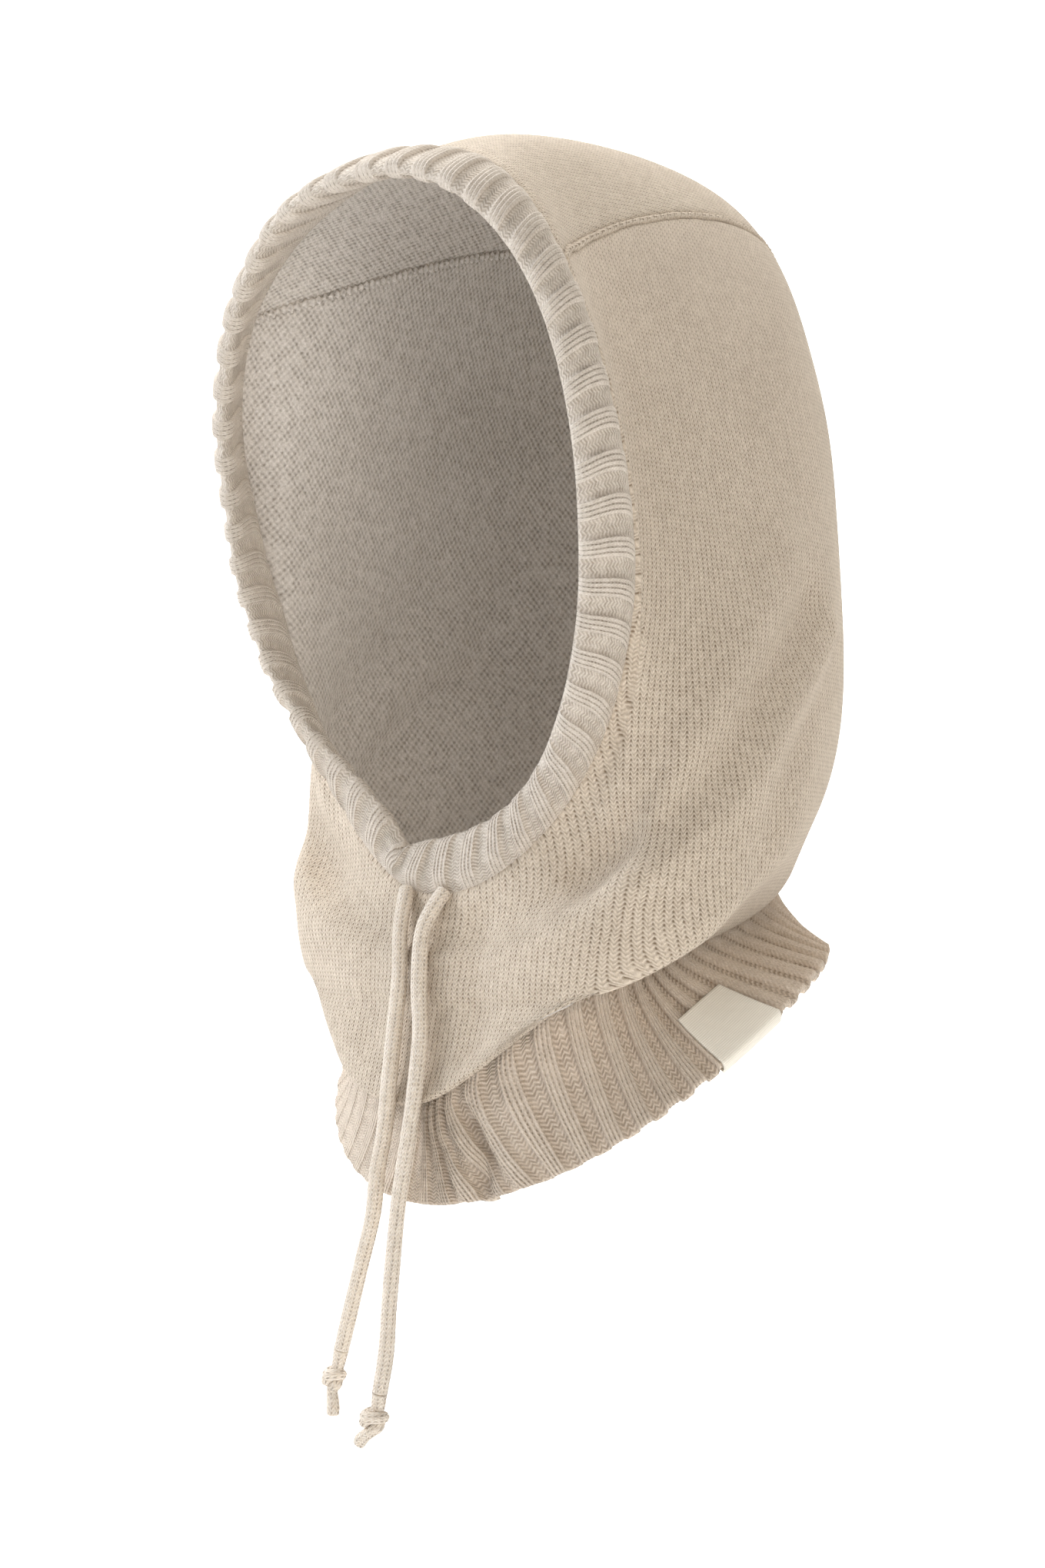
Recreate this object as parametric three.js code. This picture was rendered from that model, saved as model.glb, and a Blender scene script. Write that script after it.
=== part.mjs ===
// Knit hood with a ribbed face band, a neck rib and two tie cords.
// Millimetres, +Z up. The wearer faces -Y and +X is the wearer's left.
// The origin is the inside of the crown, where the hood sits on a head.
import * as THREE from "three";

// Driving sizes
const wall = 2.6;
const bendWall = 1.5;
const bendStart = 8.6;
const pieceGap = 0.3;
const bandRibs = 51;
const bandRibHeight = 0.8;
const neckRibs = 54;
const neckRibHeight = 0.8;
const neckWall = 2.4;
const neckTuck = 13;
const neckStart = 4;
const neckClearance = 2.4;
const lipFront = 3.4;
const lipBack = 6.4;
const lipStart = 9.55;
const crownTip = 6.7;
const cordRadius = 2.85;
const neckLean = 0.31;
const labelWidth = 30;
const labelHeight = 22;
const labelThickness = 0.7;
const labelTurn = 6;

// The band's fold dips to a point under the chin, a little to the wearer's right.
const chin = {
  depth: 12, place: -20, leftReach: 14, rightReach: 9, leftPull: 0.17, rightPull: 0.44, pullStart: 0.42,
};

// Colours
const wool = 0xcdbfae;
const woolRib = 0xd3c6b5;
const woolBand = 0xd6cab9;
const cordWool = 0xd0c2b0;
const labelCotton = 0xe9e2d2;

// Turns rows of plain values into objects with named columns.
function table(columns, rows) {
  return rows.map((row) => Object.fromEntries(columns.map((name, i) => [name, row[i]])));
}

// Sections of the soft shell, one row each, from the face opening round to the neck.
// Each is a closed loop: the throat point in front, the top point over or behind the head.
// Roundness below 1 makes a fuller loop, above 1 a more pointed one, with its own value at the back.
// sideOut and lowOut move the sides off the plane of the loop, hang drops the wearer's right.
const sections = table(
  ["name", "throatY", "throatZ", "topY", "topZ", "halfWidth", "roundness", "backRoundness",
    "skew", "sideOut", "lowOut", "hang", "crownAngle"],
  [
    ["fold", -77, -253, -119, -25, 91.2, 0.83, 0.83, 0.03, -1, -4, 0, 1.1],
    ["bandSeam", -81, -275, -88, -13, 97, 1.02, 1.02, 0.05, -30, 58, 0, 1.0],
    ["front", -84, -285, -52, -1, 91, 1.1, 1.1, -0.07, -30, 56, 0, 0.78],
    ["fore", -85, -291, -1, 3, 92, 1.08, 1.08, -0.13, -11, 27, 0, 0.58],
    ["mid", -87, -296, 46, -3, 96, 1.02, 1.02, -0.17, -2, 3, 0, 0.44],
    ["crown", -87, -302, 74, -23, 100, 0.98, 0.98, -0.19, 7, -9, 0, 0.35],
    ["rear", -88, -309, 89, -66, 102, 0.98, 0.98, -0.19, 18, -16, 0, 0.32],
    ["occiput", -87, -314, 97, -118, 100, 1, 1, -0.2, 24, -24, 0, 0.3],
    ["nape", -88, -321, 104, -171, 95, 1.03, 0.98, -0.18, 21, -34, 0, 0.28],
    ["jaw", -90, -333, 102, -217, 84, 1.1, 0.93, -0.16, 11, -43, 8, 0.26],
    ["overhang", -94, -347, 93, -257, 70, 1.25, 0.9, -0.12, 3, -47, 26, 0.24],
  ],
);

const hem = {
  throatY: -89, throatZ: -382, topY: 83, topZ: -296.5, halfWidth: 97, roundness: 1.01,
  backRoundness: 0.95, skew: 0.01, sideOut: -31, lowOut: 13, hang: 0, chinShare: 0,
};

// Soft folds: a ridge (height above 0) or a valley along a line of points, fading with distance.
const folds = [
  {
    name: "jaw ridge", height: 3.8, width: 13, mirrored: 0.6,
    line: [[84, -68, -240], [93, -57, -226], [98, -38, -208], [97, -20, -180], [92, 0, -152]],
  },
  {
    name: "jaw valley", height: -4.4, width: 9, mirrored: 0.6,
    line: [[64, -73, -267], [90, -63, -253], [99, -43, -233], [99, -18, -204], [93, 15, -175]],
  },
  {
    name: "nape ridge", height: 2.8, width: 9, mirrored: 0.7,
    line: [[84, -72, -269], [98, -52, -253], [103, -31, -235], [102, -5, -208], [91, 30, -181]],
  },
  {
    name: "nape valley", height: -2.6, width: 9, mirrored: 0.7,
    line: [[99, -19, -261], [101, -8, -235], [97, 13, -210], [86, 42, -190]],
  },
  {
    name: "throat valley", height: -2.4, width: 8, mirrored: 0.5,
    line: [[22, -83, -284], [26, -86, -305], [26, -88, -328]],
  },
  {
    name: "cheek pouch", height: 2.6, width: 18, mirrored: 1,
    line: [[60, -80, -285], [78, -66, -292], [92, -46, -288]],
  },
  {
    name: "right cheek hollow", height: -2.6, width: 19, mirrored: 0,
    line: [[-60, -90, -268], [-63, -89, -296]],
  },
];

// Cross-section of the face band: along is 0 at the fold and 1 at the seam,
// height is off the shell (mm), rib is how far the ribs stand out there.
const bandSection = table(
  ["along", "height", "rib"],
  [
    [-0.06, -1.2, 0.6],
    [0.12, 2.2, 1],
    [0.62, 2.8, 1],
    [0.985, -0.8, 0],
    [0.985, -3.8, 0],
    [0.5, -5.0, -0.8],
    [0.05, -4.2, -0.8],
  ],
);

// Cords: the middle line from under the band down to the knot.
const cords = [
  {
    side: "left",
    line: [[4.9, -84.9, -277.4], [2.2, -88.7, -286.5], [3.1, -91.7, -305.1], [5.6, -93.4, -323.7],
      [6.3, -96.6, -342.1], [3.3, -97.3, -360.9], [-0.8, -97.5, -380.2], [-3.6, -97.8, -402.1],
      [-5.1, -98.2, -418.2], [-6.2, -98.6, -434.4], [-9, -99, -448.6]],
    knot: { centre: [-11.7, -99.4, -458.1], tailEnd: [-19.1, -100, -468.2], wide: 5.8, tall: 4.6 },
  },
  {
    side: "right",
    line: [[-11.5, -85.1, -277.4], [-9.7, -88.7, -286.8], [-7.2, -91.7, -305.5], [-8.1, -92.8, -319.9],
      [-7.3, -96.1, -338.5], [-9.1, -96.8, -357.4], [-12.5, -97, -371.6], [-14.5, -97.3, -387.1],
      [-19.7, -97.7, -403.8], [-25, -98.1, -420.6], [-29.8, -98.5, -436.1]],
    knot: { centre: [-33.4, -99, -446.4], tailEnd: [-33.1, -99.6, -460.1], wide: 4.6, tall: 5 },
  },
];

// Second derivatives of a natural cubic spline through values at 0, 1, 2, ...
function splineBends(values) {
  const n = values.length;
  const upper = new Array(n).fill(0);
  const right = new Array(n).fill(0);
  const bends = new Array(n).fill(0);
  for (let i = 1; i < n - 1; i++) {
    const rhs = 6 * (values[i + 1] - 2 * values[i] + values[i - 1]);
    const pivot = 4 - upper[i - 1];
    upper[i] = 1 / pivot;
    right[i] = (rhs - right[i - 1]) / pivot;
  }
  for (let i = n - 2; i > 0; i--) bends[i] = right[i] - upper[i] * bends[i + 1];
  return bends;
}

function splineAt(values, bends, t) {
  const i = Math.min(Math.max(Math.floor(t), 0), values.length - 2);
  const f = t - i;
  const g = 1 - f;
  return values[i] * g + values[i + 1] * f
    + ((g ** 3 - g) * bends[i] + (f ** 3 - f) * bends[i + 1]) / 6;
}

const columns = Object.keys(sections[0]).filter((name) => name !== "name");
const splines = columns.map((name) => {
  const values = sections.map((section) => section[name]);
  return { name, values, bends: splineBends(values) };
});

// The section at any place t, where t is 0 at the fold and 10 at the overhang.
function sectionAt(t) {
  const section = Object.fromEntries(splines.map((s) => [s.name, splineAt(s.values, s.bends, t)]));
  section.chinShare = Math.min(Math.max(1 - t, 0), 1);
  return section;
}

// A point of one section: turn is 0 at the throat and pi at the top.
function loopPoint(section, turn) {
  const c = Math.cos(turn);
  const s = Math.sin(turn);
  const rise = 0.5 - 0.5 * c + section.skew * s * s;
  const dy = section.topY - section.throatY;
  const dz = section.topZ - section.throatZ;
  const length = Math.hypot(dy, dz);
  const out = section.sideOut * s * s + section.lowOut * s * s * (1 + c) / 2;
  const drop = section.hang * Math.max(-s, 0) ** 1.5 * (1 + c) / 2;
  const behind = (Math.max(-c - 0.3, 0) / 0.7) ** 2;
  const ahead = Math.max(c - chin.pullStart, 0) / (1 - chin.pullStart);
  const pull = (s > 0 ? chin.leftPull : chin.rightPull) * section.chinShare;
  const power = section.roundness + (section.backRoundness - section.roundness) * behind + pull * ahead;
  return new THREE.Vector3(
    section.halfWidth * Math.sign(s) * Math.abs(s) ** power,
    section.throatY + dy * rise + (dz / length) * out,
    section.throatZ + dz * rise - (dy / length) * out - drop,
  );
}

function distanceToLine(point, line, side) {
  let best = Infinity;
  const segment = new THREE.Line3();
  const nearest = new THREE.Vector3();
  for (let i = 0; i + 1 < line.length; i++) {
    segment.start.set(line[i][0] * side, line[i][1], line[i][2]);
    segment.end.set(line[i + 1][0] * side, line[i + 1][1], line[i + 1][2]);
    segment.closestPointToPoint(point, true, nearest);
    best = Math.min(best, nearest.distanceTo(point));
  }
  return best;
}

function foldHeight(point) {
  let height = 0;
  for (const fold of folds) {
    for (const side of [1, -1]) {
      const distance = distanceToLine(point, fold.line, side);
      const share = side > 0 ? 1 : fold.mirrored;
      height += fold.height * share * Math.exp(-((distance / fold.width) ** 2));
    }
  }
  return height;
}

// Outward normal of a surface given as a function of two numbers.
function normalOf(surface, a, b) {
  const step = 0.01;
  const along = surface(a + step, b).sub(surface(a - step, b));
  const round = surface(a, b + step).sub(surface(a, b - step));
  return along.cross(round).normalize();
}

// A point at a depth under a surface.
function offsetPoint(surface, a, b, depth) {
  return surface(a, b).addScaledVector(normalOf(surface, a, b), -depth);
}

function plainShell(t, turn) {
  const section = sectionAt(t);
  const point = loopPoint(section, turn);
  if (section.chinShare === 0 || Math.cos(turn) < 0) return point;
  const aside = point.x - chin.place;
  const reach = aside > 0 ? chin.leftReach : chin.rightReach;
  point.z -= chin.depth * section.chinShare ** 1.2 * Math.exp(-Math.abs(aside) / reach);
  return point;
}

// The soft outer face, with its folds. They fade out at the band and at the overhang.
function shell(t, turn) {
  const point = plainShell(t, turn);
  const fade = Math.max(Math.min((t - 1) / 0.8, (10 - t) / 1.2, 1), 0);
  if (fade === 0) return point;
  return point.addScaledVector(normalOf(plainShell, t, turn), foldHeight(point) * fade);
}

// A point beside the line where the band ends, a distance back from it along the cloth.
function besideBand(turn, distance, depth) {
  const step = 0.01;
  const round = shell(1, turn + step).sub(shell(1, turn - step)).normalize();
  const normal = normalOf(shell, 1, turn);
  const back = round.cross(normal);
  return shell(1, turn).addScaledVector(back, distance).addScaledVector(normal, -depth);
}

// Half the angle that the crown panel takes, with a rounded tip at the back of the head.
function crownHalfAngle(t, tip) {
  const share = Math.min((t - 1) / (tip - 1), 1);
  return sectionAt(t).crownAngle * Math.sqrt(Math.max(1 - share ** 8, 0));
}

// Level outward direction of the overhang loop, evened out over a wide step.
function levelOut(turn) {
  const step = 0.25;
  const along = plainShell(10, turn + step).sub(plainShell(10, turn - step));
  return new THREE.Vector3(along.y, -along.x, 0).normalize();
}

const lipWidth = (turn) => lipFront + (lipBack - lipFront) * (1 - Math.cos(turn)) / 2;

// The lip rolls in under the overhang: share is 0 at the overhang and 1 at its inner edge.
function lip(share, turn) {
  const width = lipWidth(turn);
  const point = plainShell(10, turn);
  point.addScaledVector(levelOut(turn), -width * share);
  point.z -= 1.5 * Math.sin(Math.PI * Math.min(share * 0.75 + 0.1, 1)) - 0.46;
  return point;
}

// The lip's upper face: straight from the body's inner face to just above the lip's edge.
function lipInside(share, turn) {
  const edge = lip(1, turn);
  edge.z += bendWall;
  return offsetPoint(shell, lipStart, turn, bendWall).lerp(edge, 0.4 + 0.6 * share);
}

// The ribs leave the tuck further back than they reach the hem, most of all below the cheeks.
function leanTurn(turn) {
  const aside = Math.atan2(Math.sin(turn), Math.cos(turn));
  return turn + neckLean * Math.sign(aside) * Math.exp(-(((Math.abs(aside) - 1.1) / 0.55) ** 2));
}

// The neck rib's outer face before ribbing: 0 at the tucked top, 0.3 just under the lip, 1 at the hem.
function neck(share, turn) {
  const top = leanTurn(turn);
  const out = levelOut(top);
  const inset = lipWidth(top) + neckRibHeight + neckClearance;
  const atLip = plainShell(10, top).addScaledVector(out, -inset);
  atLip.z -= neckStart;
  if (share < 0.3) {
    const up = (0.3 - share) / 0.3;
    return atLip.addScaledVector(out, -2 * up).add(new THREE.Vector3(0, 0, neckTuck * up));
  }
  const down = (share - 0.3) / 0.7;
  const end = loopPoint(hem, turn);
  const flare = down ** 1.3;
  return new THREE.Vector3(
    atLip.x + (end.x - atLip.x) * flare,
    atLip.y + (end.y - atLip.y) * flare,
    atLip.z + (end.z - atLip.z) * down ** 0.9,
  );
}

// Turns that share a loop out by length: 4 places a rib, two on its top and two in the groove.
function ribTurns(loop, ribs) {
  const fine = 1440;
  const lengths = [0];
  let last = loop(0);
  for (let i = 1; i <= fine; i++) {
    const next = loop((i / fine) * 2 * Math.PI);
    lengths.push(lengths[i - 1] + next.distanceTo(last));
    last = next;
  }
  const places = [];
  let i = 0;
  for (let rib = 0; rib < ribs; rib++) {
    for (const [share, raised] of [[0.05, 1], [0.45, 1], [0.57, -1], [0.93, -1]]) {
      const target = (lengths[fine] * (rib + share)) / ribs;
      while (lengths[i + 1] < target) i++;
      const part = (target - lengths[i]) / (lengths[i + 1] - lengths[i]);
      places.push({ turn: ((i + part) / fine) * 2 * Math.PI, raised });
    }
  }
  return places;
}

// One closed body from points and triangles, turned so that its faces point out.
function solid(name, colour, points, triangles) {
  let volume = 0;
  for (const [a, b, c] of triangles) {
    volume += points[a].dot(points[b].clone().cross(points[c]));
  }
  const index = triangles.flatMap(([a, b, c]) => (volume < 0 ? [a, c, b] : [a, b, c]));
  const geometry = new THREE.BufferGeometry();
  const flat = points.flatMap((p) => [p.x, p.y, p.z]);
  geometry.setAttribute("position", new THREE.Float32BufferAttribute(flat, 3));
  geometry.setIndex(index);
  geometry.computeVertexNormals();
  const material = new THREE.MeshStandardMaterial({ color: colour, roughness: 0.95 });
  material.name = name;
  const mesh = new THREE.Mesh(geometry, material);
  mesh.name = name;
  return mesh;
}

function addQuad(triangles, a, b, c, d) {
  if (a !== b && b !== c && a !== c) triangles.push([a, b, c]);
  if (a !== c && c !== d && a !== d) triangles.push([a, c, d]);
}

// Rings of equal length joined into a tube, with its ends joined to each other.
function closedRings(name, colour, rings) {
  const size = rings[0].length;
  const points = rings.flat();
  const triangles = [];
  for (let r = 0; r < rings.length; r++) {
    const next = (r + 1) % rings.length;
    for (let i = 0; i < size; i++) {
      const j = (i + 1) % size;
      addQuad(triangles, r * size + i, r * size + j, next * size + j, next * size + i);
    }
  }
  return solid(name, colour, points, triangles);
}

// Rings of equal length joined into a rod, with a flat fan on each end.
function cappedRings(name, colour, rings) {
  const size = rings[0].length;
  const points = rings.flat();
  const triangles = [];
  for (let r = 0; r + 1 < rings.length; r++) {
    for (let i = 0; i < size; i++) {
      const j = (i + 1) % size;
      addQuad(triangles, r * size + i, r * size + j, (r + 1) * size + j, (r + 1) * size + i);
    }
  }
  for (const [ring, flip] of [[0, false], [rings.length - 1, true]]) {
    const middle = points.length;
    const centre = new THREE.Vector3();
    rings[ring].forEach((p) => centre.addScaledVector(p, 1 / size));
    points.push(centre);
    for (let i = 0; i < size; i++) {
      const pair = [ring * size + i, ring * size + ((i + 1) % size)];
      triangles.push(flip ? [middle, pair[0], pair[1]] : [middle, pair[1], pair[0]]);
    }
  }
  return solid(name, colour, points, triangles);
}

// Places of the rows from the band seam to the tip of the crown panel, closer near the tip.
function topRows(steps, start, tip) {
  const places = [];
  for (let i = 0; i <= steps; i++) {
    places.push(start + (tip - start) * (1 - (1 - i / steps) ** 1.35));
  }
  return places;
}

const seamGap = 0.9;
const seamAngleGap = 0.003;
const topSteps = 11;
const bodyColumns = 42;

// Evens out the inner face below the crown, so that it does not cross itself in the sharp bend.
function softenRows(grid, first) {
  const before = grid.map((row) => row.map((point) => point.clone()));
  for (let r = first; r + 1 < grid.length; r++) {
    grid[r].forEach((point, c) => {
      point.lerp(before[r - 1][c].clone().add(before[r + 1][c]).multiplyScalar(0.5), 0.5);
    });
  }
}

// The body: open rows up to the crown tip, whole rings below it, then the lip.
function bodyPanel() {
  const rows = [];
  for (const t of topRows(topSteps, 1, crownTip)) {
    const open = t < crownTip - 1e-6;
    const half = open ? crownHalfAngle(t, crownTip) + seamAngleGap : 0;
    rows.push({ place: t, open, reach: Math.PI - half });
  }
  const lowPlaces = [7.15, 7.55, 7.95, 8.35, 8.75, 9.15, lipStart];
  for (const t of lowPlaces) rows.push({ place: t, open: false, reach: Math.PI });
  for (const share of [0.05, 0.45, 1]) {
    rows.push({ place: share, lip: true, open: false, reach: Math.PI });
  }
  const gridAt = (depth) => rows.map((row, r) => {
    const count = row.open ? bodyColumns + 1 : bodyColumns;
    return Array.from({ length: count }, (_, c) => {
      const turn = row.reach * (-1 + (2 * c) / bodyColumns);
      if (r === 0) return besideBand(turn, seamGap, depth);
      if (row.lip) return depth === 0 ? lip(row.place, turn) : lipInside(row.place, turn);
      return offsetPoint(shell, row.place, turn, row.place > bendStart ? Math.min(depth, bendWall) : depth);
    });
  });
  const grid = gridAt(0);
  const inner = gridAt(wall);
  for (let pass = 0; pass < 2; pass++) softenRows(inner, topSteps + 1);
  const starts = [];
  let total = 0;
  for (const row of grid) {
    starts.push(total);
    total += row.length;
  }
  const points = [...grid.flat(), ...inner.flat()];
  const outerAt = (r, c) => starts[r] + (rows[r].open ? c : c % bodyColumns);
  const innerAt = (r, c) => total + outerAt(r, c);
  const triangles = [];
  const last = grid.length - 1;
  for (let r = 0; r < last; r++) {
    for (let c = 0; c < bodyColumns; c++) {
      addQuad(triangles, outerAt(r, c), outerAt(r, c + 1), outerAt(r + 1, c + 1), outerAt(r + 1, c));
      addQuad(triangles, innerAt(r, c), innerAt(r + 1, c), innerAt(r + 1, c + 1), innerAt(r, c + 1));
    }
    if (!rows[r].open) continue;
    addQuad(triangles, outerAt(r, 0), outerAt(r + 1, 0), innerAt(r + 1, 0), innerAt(r, 0));
    addQuad(triangles, outerAt(r, bodyColumns), innerAt(r, bodyColumns),
      innerAt(r + 1, bodyColumns), outerAt(r + 1, bodyColumns));
  }
  for (let c = 0; c < bodyColumns; c++) {
    addQuad(triangles, outerAt(0, c), innerAt(0, c), innerAt(0, c + 1), outerAt(0, c + 1));
    addQuad(triangles, outerAt(last, c), outerAt(last, c + 1), innerAt(last, c + 1), innerAt(last, c));
  }
  return solid("body_panel", wool, points, triangles);
}

// The crown: a tongue that narrows to a rounded tip.
function crownPanel() {
  const across = 10;
  const tip = crownTip - 0.03;
  const places = topRows(topSteps, 1, crownTip).slice(0, -1);
  const gridAt = (depth) => places.map((t, r) => {
    const half = crownHalfAngle(t, crownTip) - seamAngleGap;
    return Array.from({ length: across + 1 }, (_, c) => {
      const turn = Math.PI + half * (-1 + (2 * c) / across);
      return r === 0 ? besideBand(turn, seamGap, depth) : offsetPoint(shell, t, turn, depth);
    });
  });
  const grid = gridAt(0);
  const inner = gridAt(wall);
  const tipPoint = offsetPoint(shell, tip, Math.PI, 0);
  const tipInner = offsetPoint(shell, tip, Math.PI, wall);
  const size = across + 1;
  const total = grid.length * size;
  const points = [...grid.flat(), ...inner.flat(), tipPoint, tipInner];
  const outerTip = 2 * total;
  const innerTip = outerTip + 1;
  const triangles = [];
  const last = (grid.length - 1) * size;
  for (let r = 0; r + 1 < grid.length; r++) {
    const a = r * size;
    for (let c = 0; c < across; c++) {
      addQuad(triangles, a + c, a + c + 1, a + size + c + 1, a + size + c);
      addQuad(triangles, total + a + c, total + a + size + c, total + a + size + c + 1, total + a + c + 1);
    }
    addQuad(triangles, a, a + size, total + a + size, total + a);
    addQuad(triangles, a + across, total + a + across, total + a + size + across, a + size + across);
  }
  for (let c = 0; c < across; c++) {
    addQuad(triangles, c, total + c, total + c + 1, c + 1);
    triangles.push([last + c, last + c + 1, outerTip]);
    triangles.push([total + last + c + 1, total + last + c, innerTip]);
  }
  addQuad(triangles, last, outerTip, innerTip, total + last);
  addQuad(triangles, last + across, total + last + across, innerTip, outerTip);
  return solid("crown_panel", wool, points, triangles);
}

// The face band: the ribbed cross-section carried round the opening.
function faceBand() {
  const places = ribTurns((turn) => plainShell(0.5, turn), bandRibs);
  const rings = bandSection.map((place) => places.map(({ turn, raised }) => {
    const along = Math.max(place.along, 0);
    const point = plainShell(along, turn);
    const normal = normalOf(plainShell, along, turn);
    if (place.along < 0) {
      const back = plainShell(0.1, turn).sub(point).normalize();
      point.addScaledVector(back, place.along * 27);
    }
    return point.addScaledVector(normal, place.height + place.rib * raised * bandRibHeight);
  }));
  return closedRings("face_band", woolBand, rings);
}

// The neck rib: a wavy wall from the tuck to the hem.
function neckRib() {
  const places = ribTurns((turn) => loopPoint(hem, turn), neckRibs);
  const ring = (share, depth) => places.map(({ turn, raised }) => {
    const normal = normalOf(neck, share, turn);
    return neck(share, turn).addScaledVector(normal, raised * neckRibHeight - depth);
  });
  const rings = [
    ring(0, 0), ring(0.3, 0), ring(0.62, 0), ring(1, 0),
    ring(1, neckWall), ring(0.62, neckWall), ring(0.3, neckWall), ring(0, neckWall),
  ];
  return closedRings("neck_rib", woolRib, rings);
}

// The bare label: down the outer face, round the hem edge and a little way up inside.
function wovenLabel() {
  const middleTurn = 1.44;
  const rise = 0.7 / 48;
  const outside = neckRibHeight + 0.9;
  const inside = -(neckWall + neckRibHeight + 0.4 + labelThickness);
  const edgeDrop = 0.35;
  const path = table(
    ["up", "outerHeight", "innerHeight", "drop", "innerDrop"],
    [
      [labelHeight, outside + labelThickness, outside, 0, 0],
      [labelHeight / 2, outside + labelThickness, outside, 0, 0],
      [0, outside + labelThickness, outside, edgeDrop + labelThickness, edgeDrop],
      [0, inside, inside + labelThickness, edgeDrop + labelThickness, edgeDrop],
      [labelTurn, inside, inside + labelThickness, 0, 0],
    ],
  );
  const steps = 6;
  const hemSpeed = loopPoint(hem, middleTurn + 0.05).distanceTo(loopPoint(hem, middleTurn - 0.05)) / 0.1;
  const rings = [];
  for (let i = 0; i <= steps; i++) {
    const turn = middleTurn + (labelWidth * (i / steps - 0.5)) / hemSpeed;
    const place = (up, height, drop) => {
      const share = 1 - up * rise;
      const point = neck(share, turn);
      point.addScaledVector(normalOf(neck, share, turn), height);
      const down = neck(1, turn).sub(neck(0.95, turn)).normalize();
      return point.addScaledVector(down, drop);
    };
    const outer = path.map((p) => place(p.up, p.outerHeight, p.drop));
    const inner = path.map((p) => place(p.up, p.innerHeight, p.innerDrop)).reverse();
    rings.push([...outer, ...inner]);
  }
  return labelSolid(rings);
}

// The label's section is not convex, so its ends are closed in strips.
function labelSolid(rings) {
  const size = rings[0].length;
  const points = rings.flat();
  const triangles = [];
  for (let r = 0; r + 1 < rings.length; r++) {
    for (let i = 0; i < size; i++) {
      const j = (i + 1) % size;
      addQuad(triangles, r * size + i, r * size + j, (r + 1) * size + j, (r + 1) * size + i);
    }
  }
  for (const [start, flip] of [[0, true], [(rings.length - 1) * size, false]]) {
    for (let i = 0; i < size / 2 - 1; i++) {
      const a = start + i;
      const b = start + i + 1;
      const c = start + size - 2 - i;
      const d = start + size - 1 - i;
      if (flip) addQuad(triangles, a, d, c, b);
      else addQuad(triangles, a, b, c, d);
    }
  }
  return solid("woven_label", labelCotton, points, triangles);
}

// Rings round a middle line, each with its own half widths.
function ringsAlong(centres, radii, sides) {
  const rings = [];
  let across = new THREE.Vector3(1, 0, 0);
  for (let i = 0; i < centres.length; i++) {
    const before = centres[Math.max(i - 1, 0)];
    const after = centres[Math.min(i + 1, centres.length - 1)];
    const along = after.clone().sub(before).normalize();
    across = across.clone().addScaledVector(along, -across.dot(along)).normalize();
    const other = along.clone().cross(across);
    rings.push(Array.from({ length: sides }, (_, k) => {
      const angle = (2 * Math.PI * k) / sides;
      return centres[i].clone()
        .addScaledVector(across, Math.cos(angle) * radii[i])
        .addScaledVector(other, Math.sin(angle) * radii[i]);
    }));
  }
  return rings;
}

const vector = ([x, y, z]) => new THREE.Vector3(x, y, z);

function tieCord(cord) {
  const steps = 22;
  const curve = new THREE.CatmullRomCurve3(cord.line.map(vector), false, "centripetal");
  const centres = curve.getSpacedPoints(steps);
  const radii = centres.map(() => cordRadius);
  return cappedRings(`tie_cord_${cord.side}`, cordWool, ringsAlong(centres, radii, 8));
}

// The knot: the cord swells into two lobes and leaves as a short tail.
const knotProfile = table(
  ["place", "size"],
  [[-1.02, 0.55], [-0.85, 0.8], [-0.5, 1], [-0.12, 0.93], [0.1, 0.88], [0.45, 1], [0.82, 0.78], [1.0, 0.52]],
);

function tieKnot(cord) {
  const { centre, tailEnd, wide, tall } = cord.knot;
  const middle = vector(centre);
  const entry = vector(cord.line[cord.line.length - 1]);
  const down = middle.clone().sub(entry).normalize();
  const reach = Math.min(middle.distanceTo(entry) - pieceGap - 0.1, tall * 1.4);
  const centres = [];
  const radii = [];
  for (const row of knotProfile) {
    const step = row.place < 0 ? row.place * Math.max(reach, tall) : row.place * tall;
    centres.push(middle.clone().addScaledVector(down, step));
    radii.push(row.size * wide);
  }
  const start = centres[centres.length - 1];
  const end = vector(tailEnd);
  for (const share of [0.25, 0.6, 0.93, 1]) {
    centres.push(start.clone().lerp(end, share));
    radii.push(share === 1 ? cordRadius * 0.6 : cordRadius * 0.97);
  }
  return cappedRings(`tie_knot_${cord.side}`, cordWool, ringsAlong(centres, radii, 10));
}

const hood = new THREE.Group();
hood.name = "knit_hood";
hood.add(bodyPanel(), crownPanel(), faceBand(), neckRib(), wovenLabel());
for (const cord of cords) hood.add(tieCord(cord), tieKnot(cord));

export default hood;
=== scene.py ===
import math
import bpy
import numpy as np
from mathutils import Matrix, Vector


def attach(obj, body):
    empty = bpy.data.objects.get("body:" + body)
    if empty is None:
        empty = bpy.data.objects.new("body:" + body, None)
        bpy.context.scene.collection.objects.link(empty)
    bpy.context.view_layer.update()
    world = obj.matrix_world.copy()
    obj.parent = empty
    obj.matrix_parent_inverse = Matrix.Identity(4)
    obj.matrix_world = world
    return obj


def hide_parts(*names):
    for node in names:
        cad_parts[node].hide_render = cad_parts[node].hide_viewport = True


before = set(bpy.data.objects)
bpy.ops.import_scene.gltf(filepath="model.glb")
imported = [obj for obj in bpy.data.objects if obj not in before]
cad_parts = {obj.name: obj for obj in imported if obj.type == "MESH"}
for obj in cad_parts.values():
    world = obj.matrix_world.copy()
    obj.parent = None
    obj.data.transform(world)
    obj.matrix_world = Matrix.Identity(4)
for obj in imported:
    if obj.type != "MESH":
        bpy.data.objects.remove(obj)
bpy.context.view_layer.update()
print("frame loaded")

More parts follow.
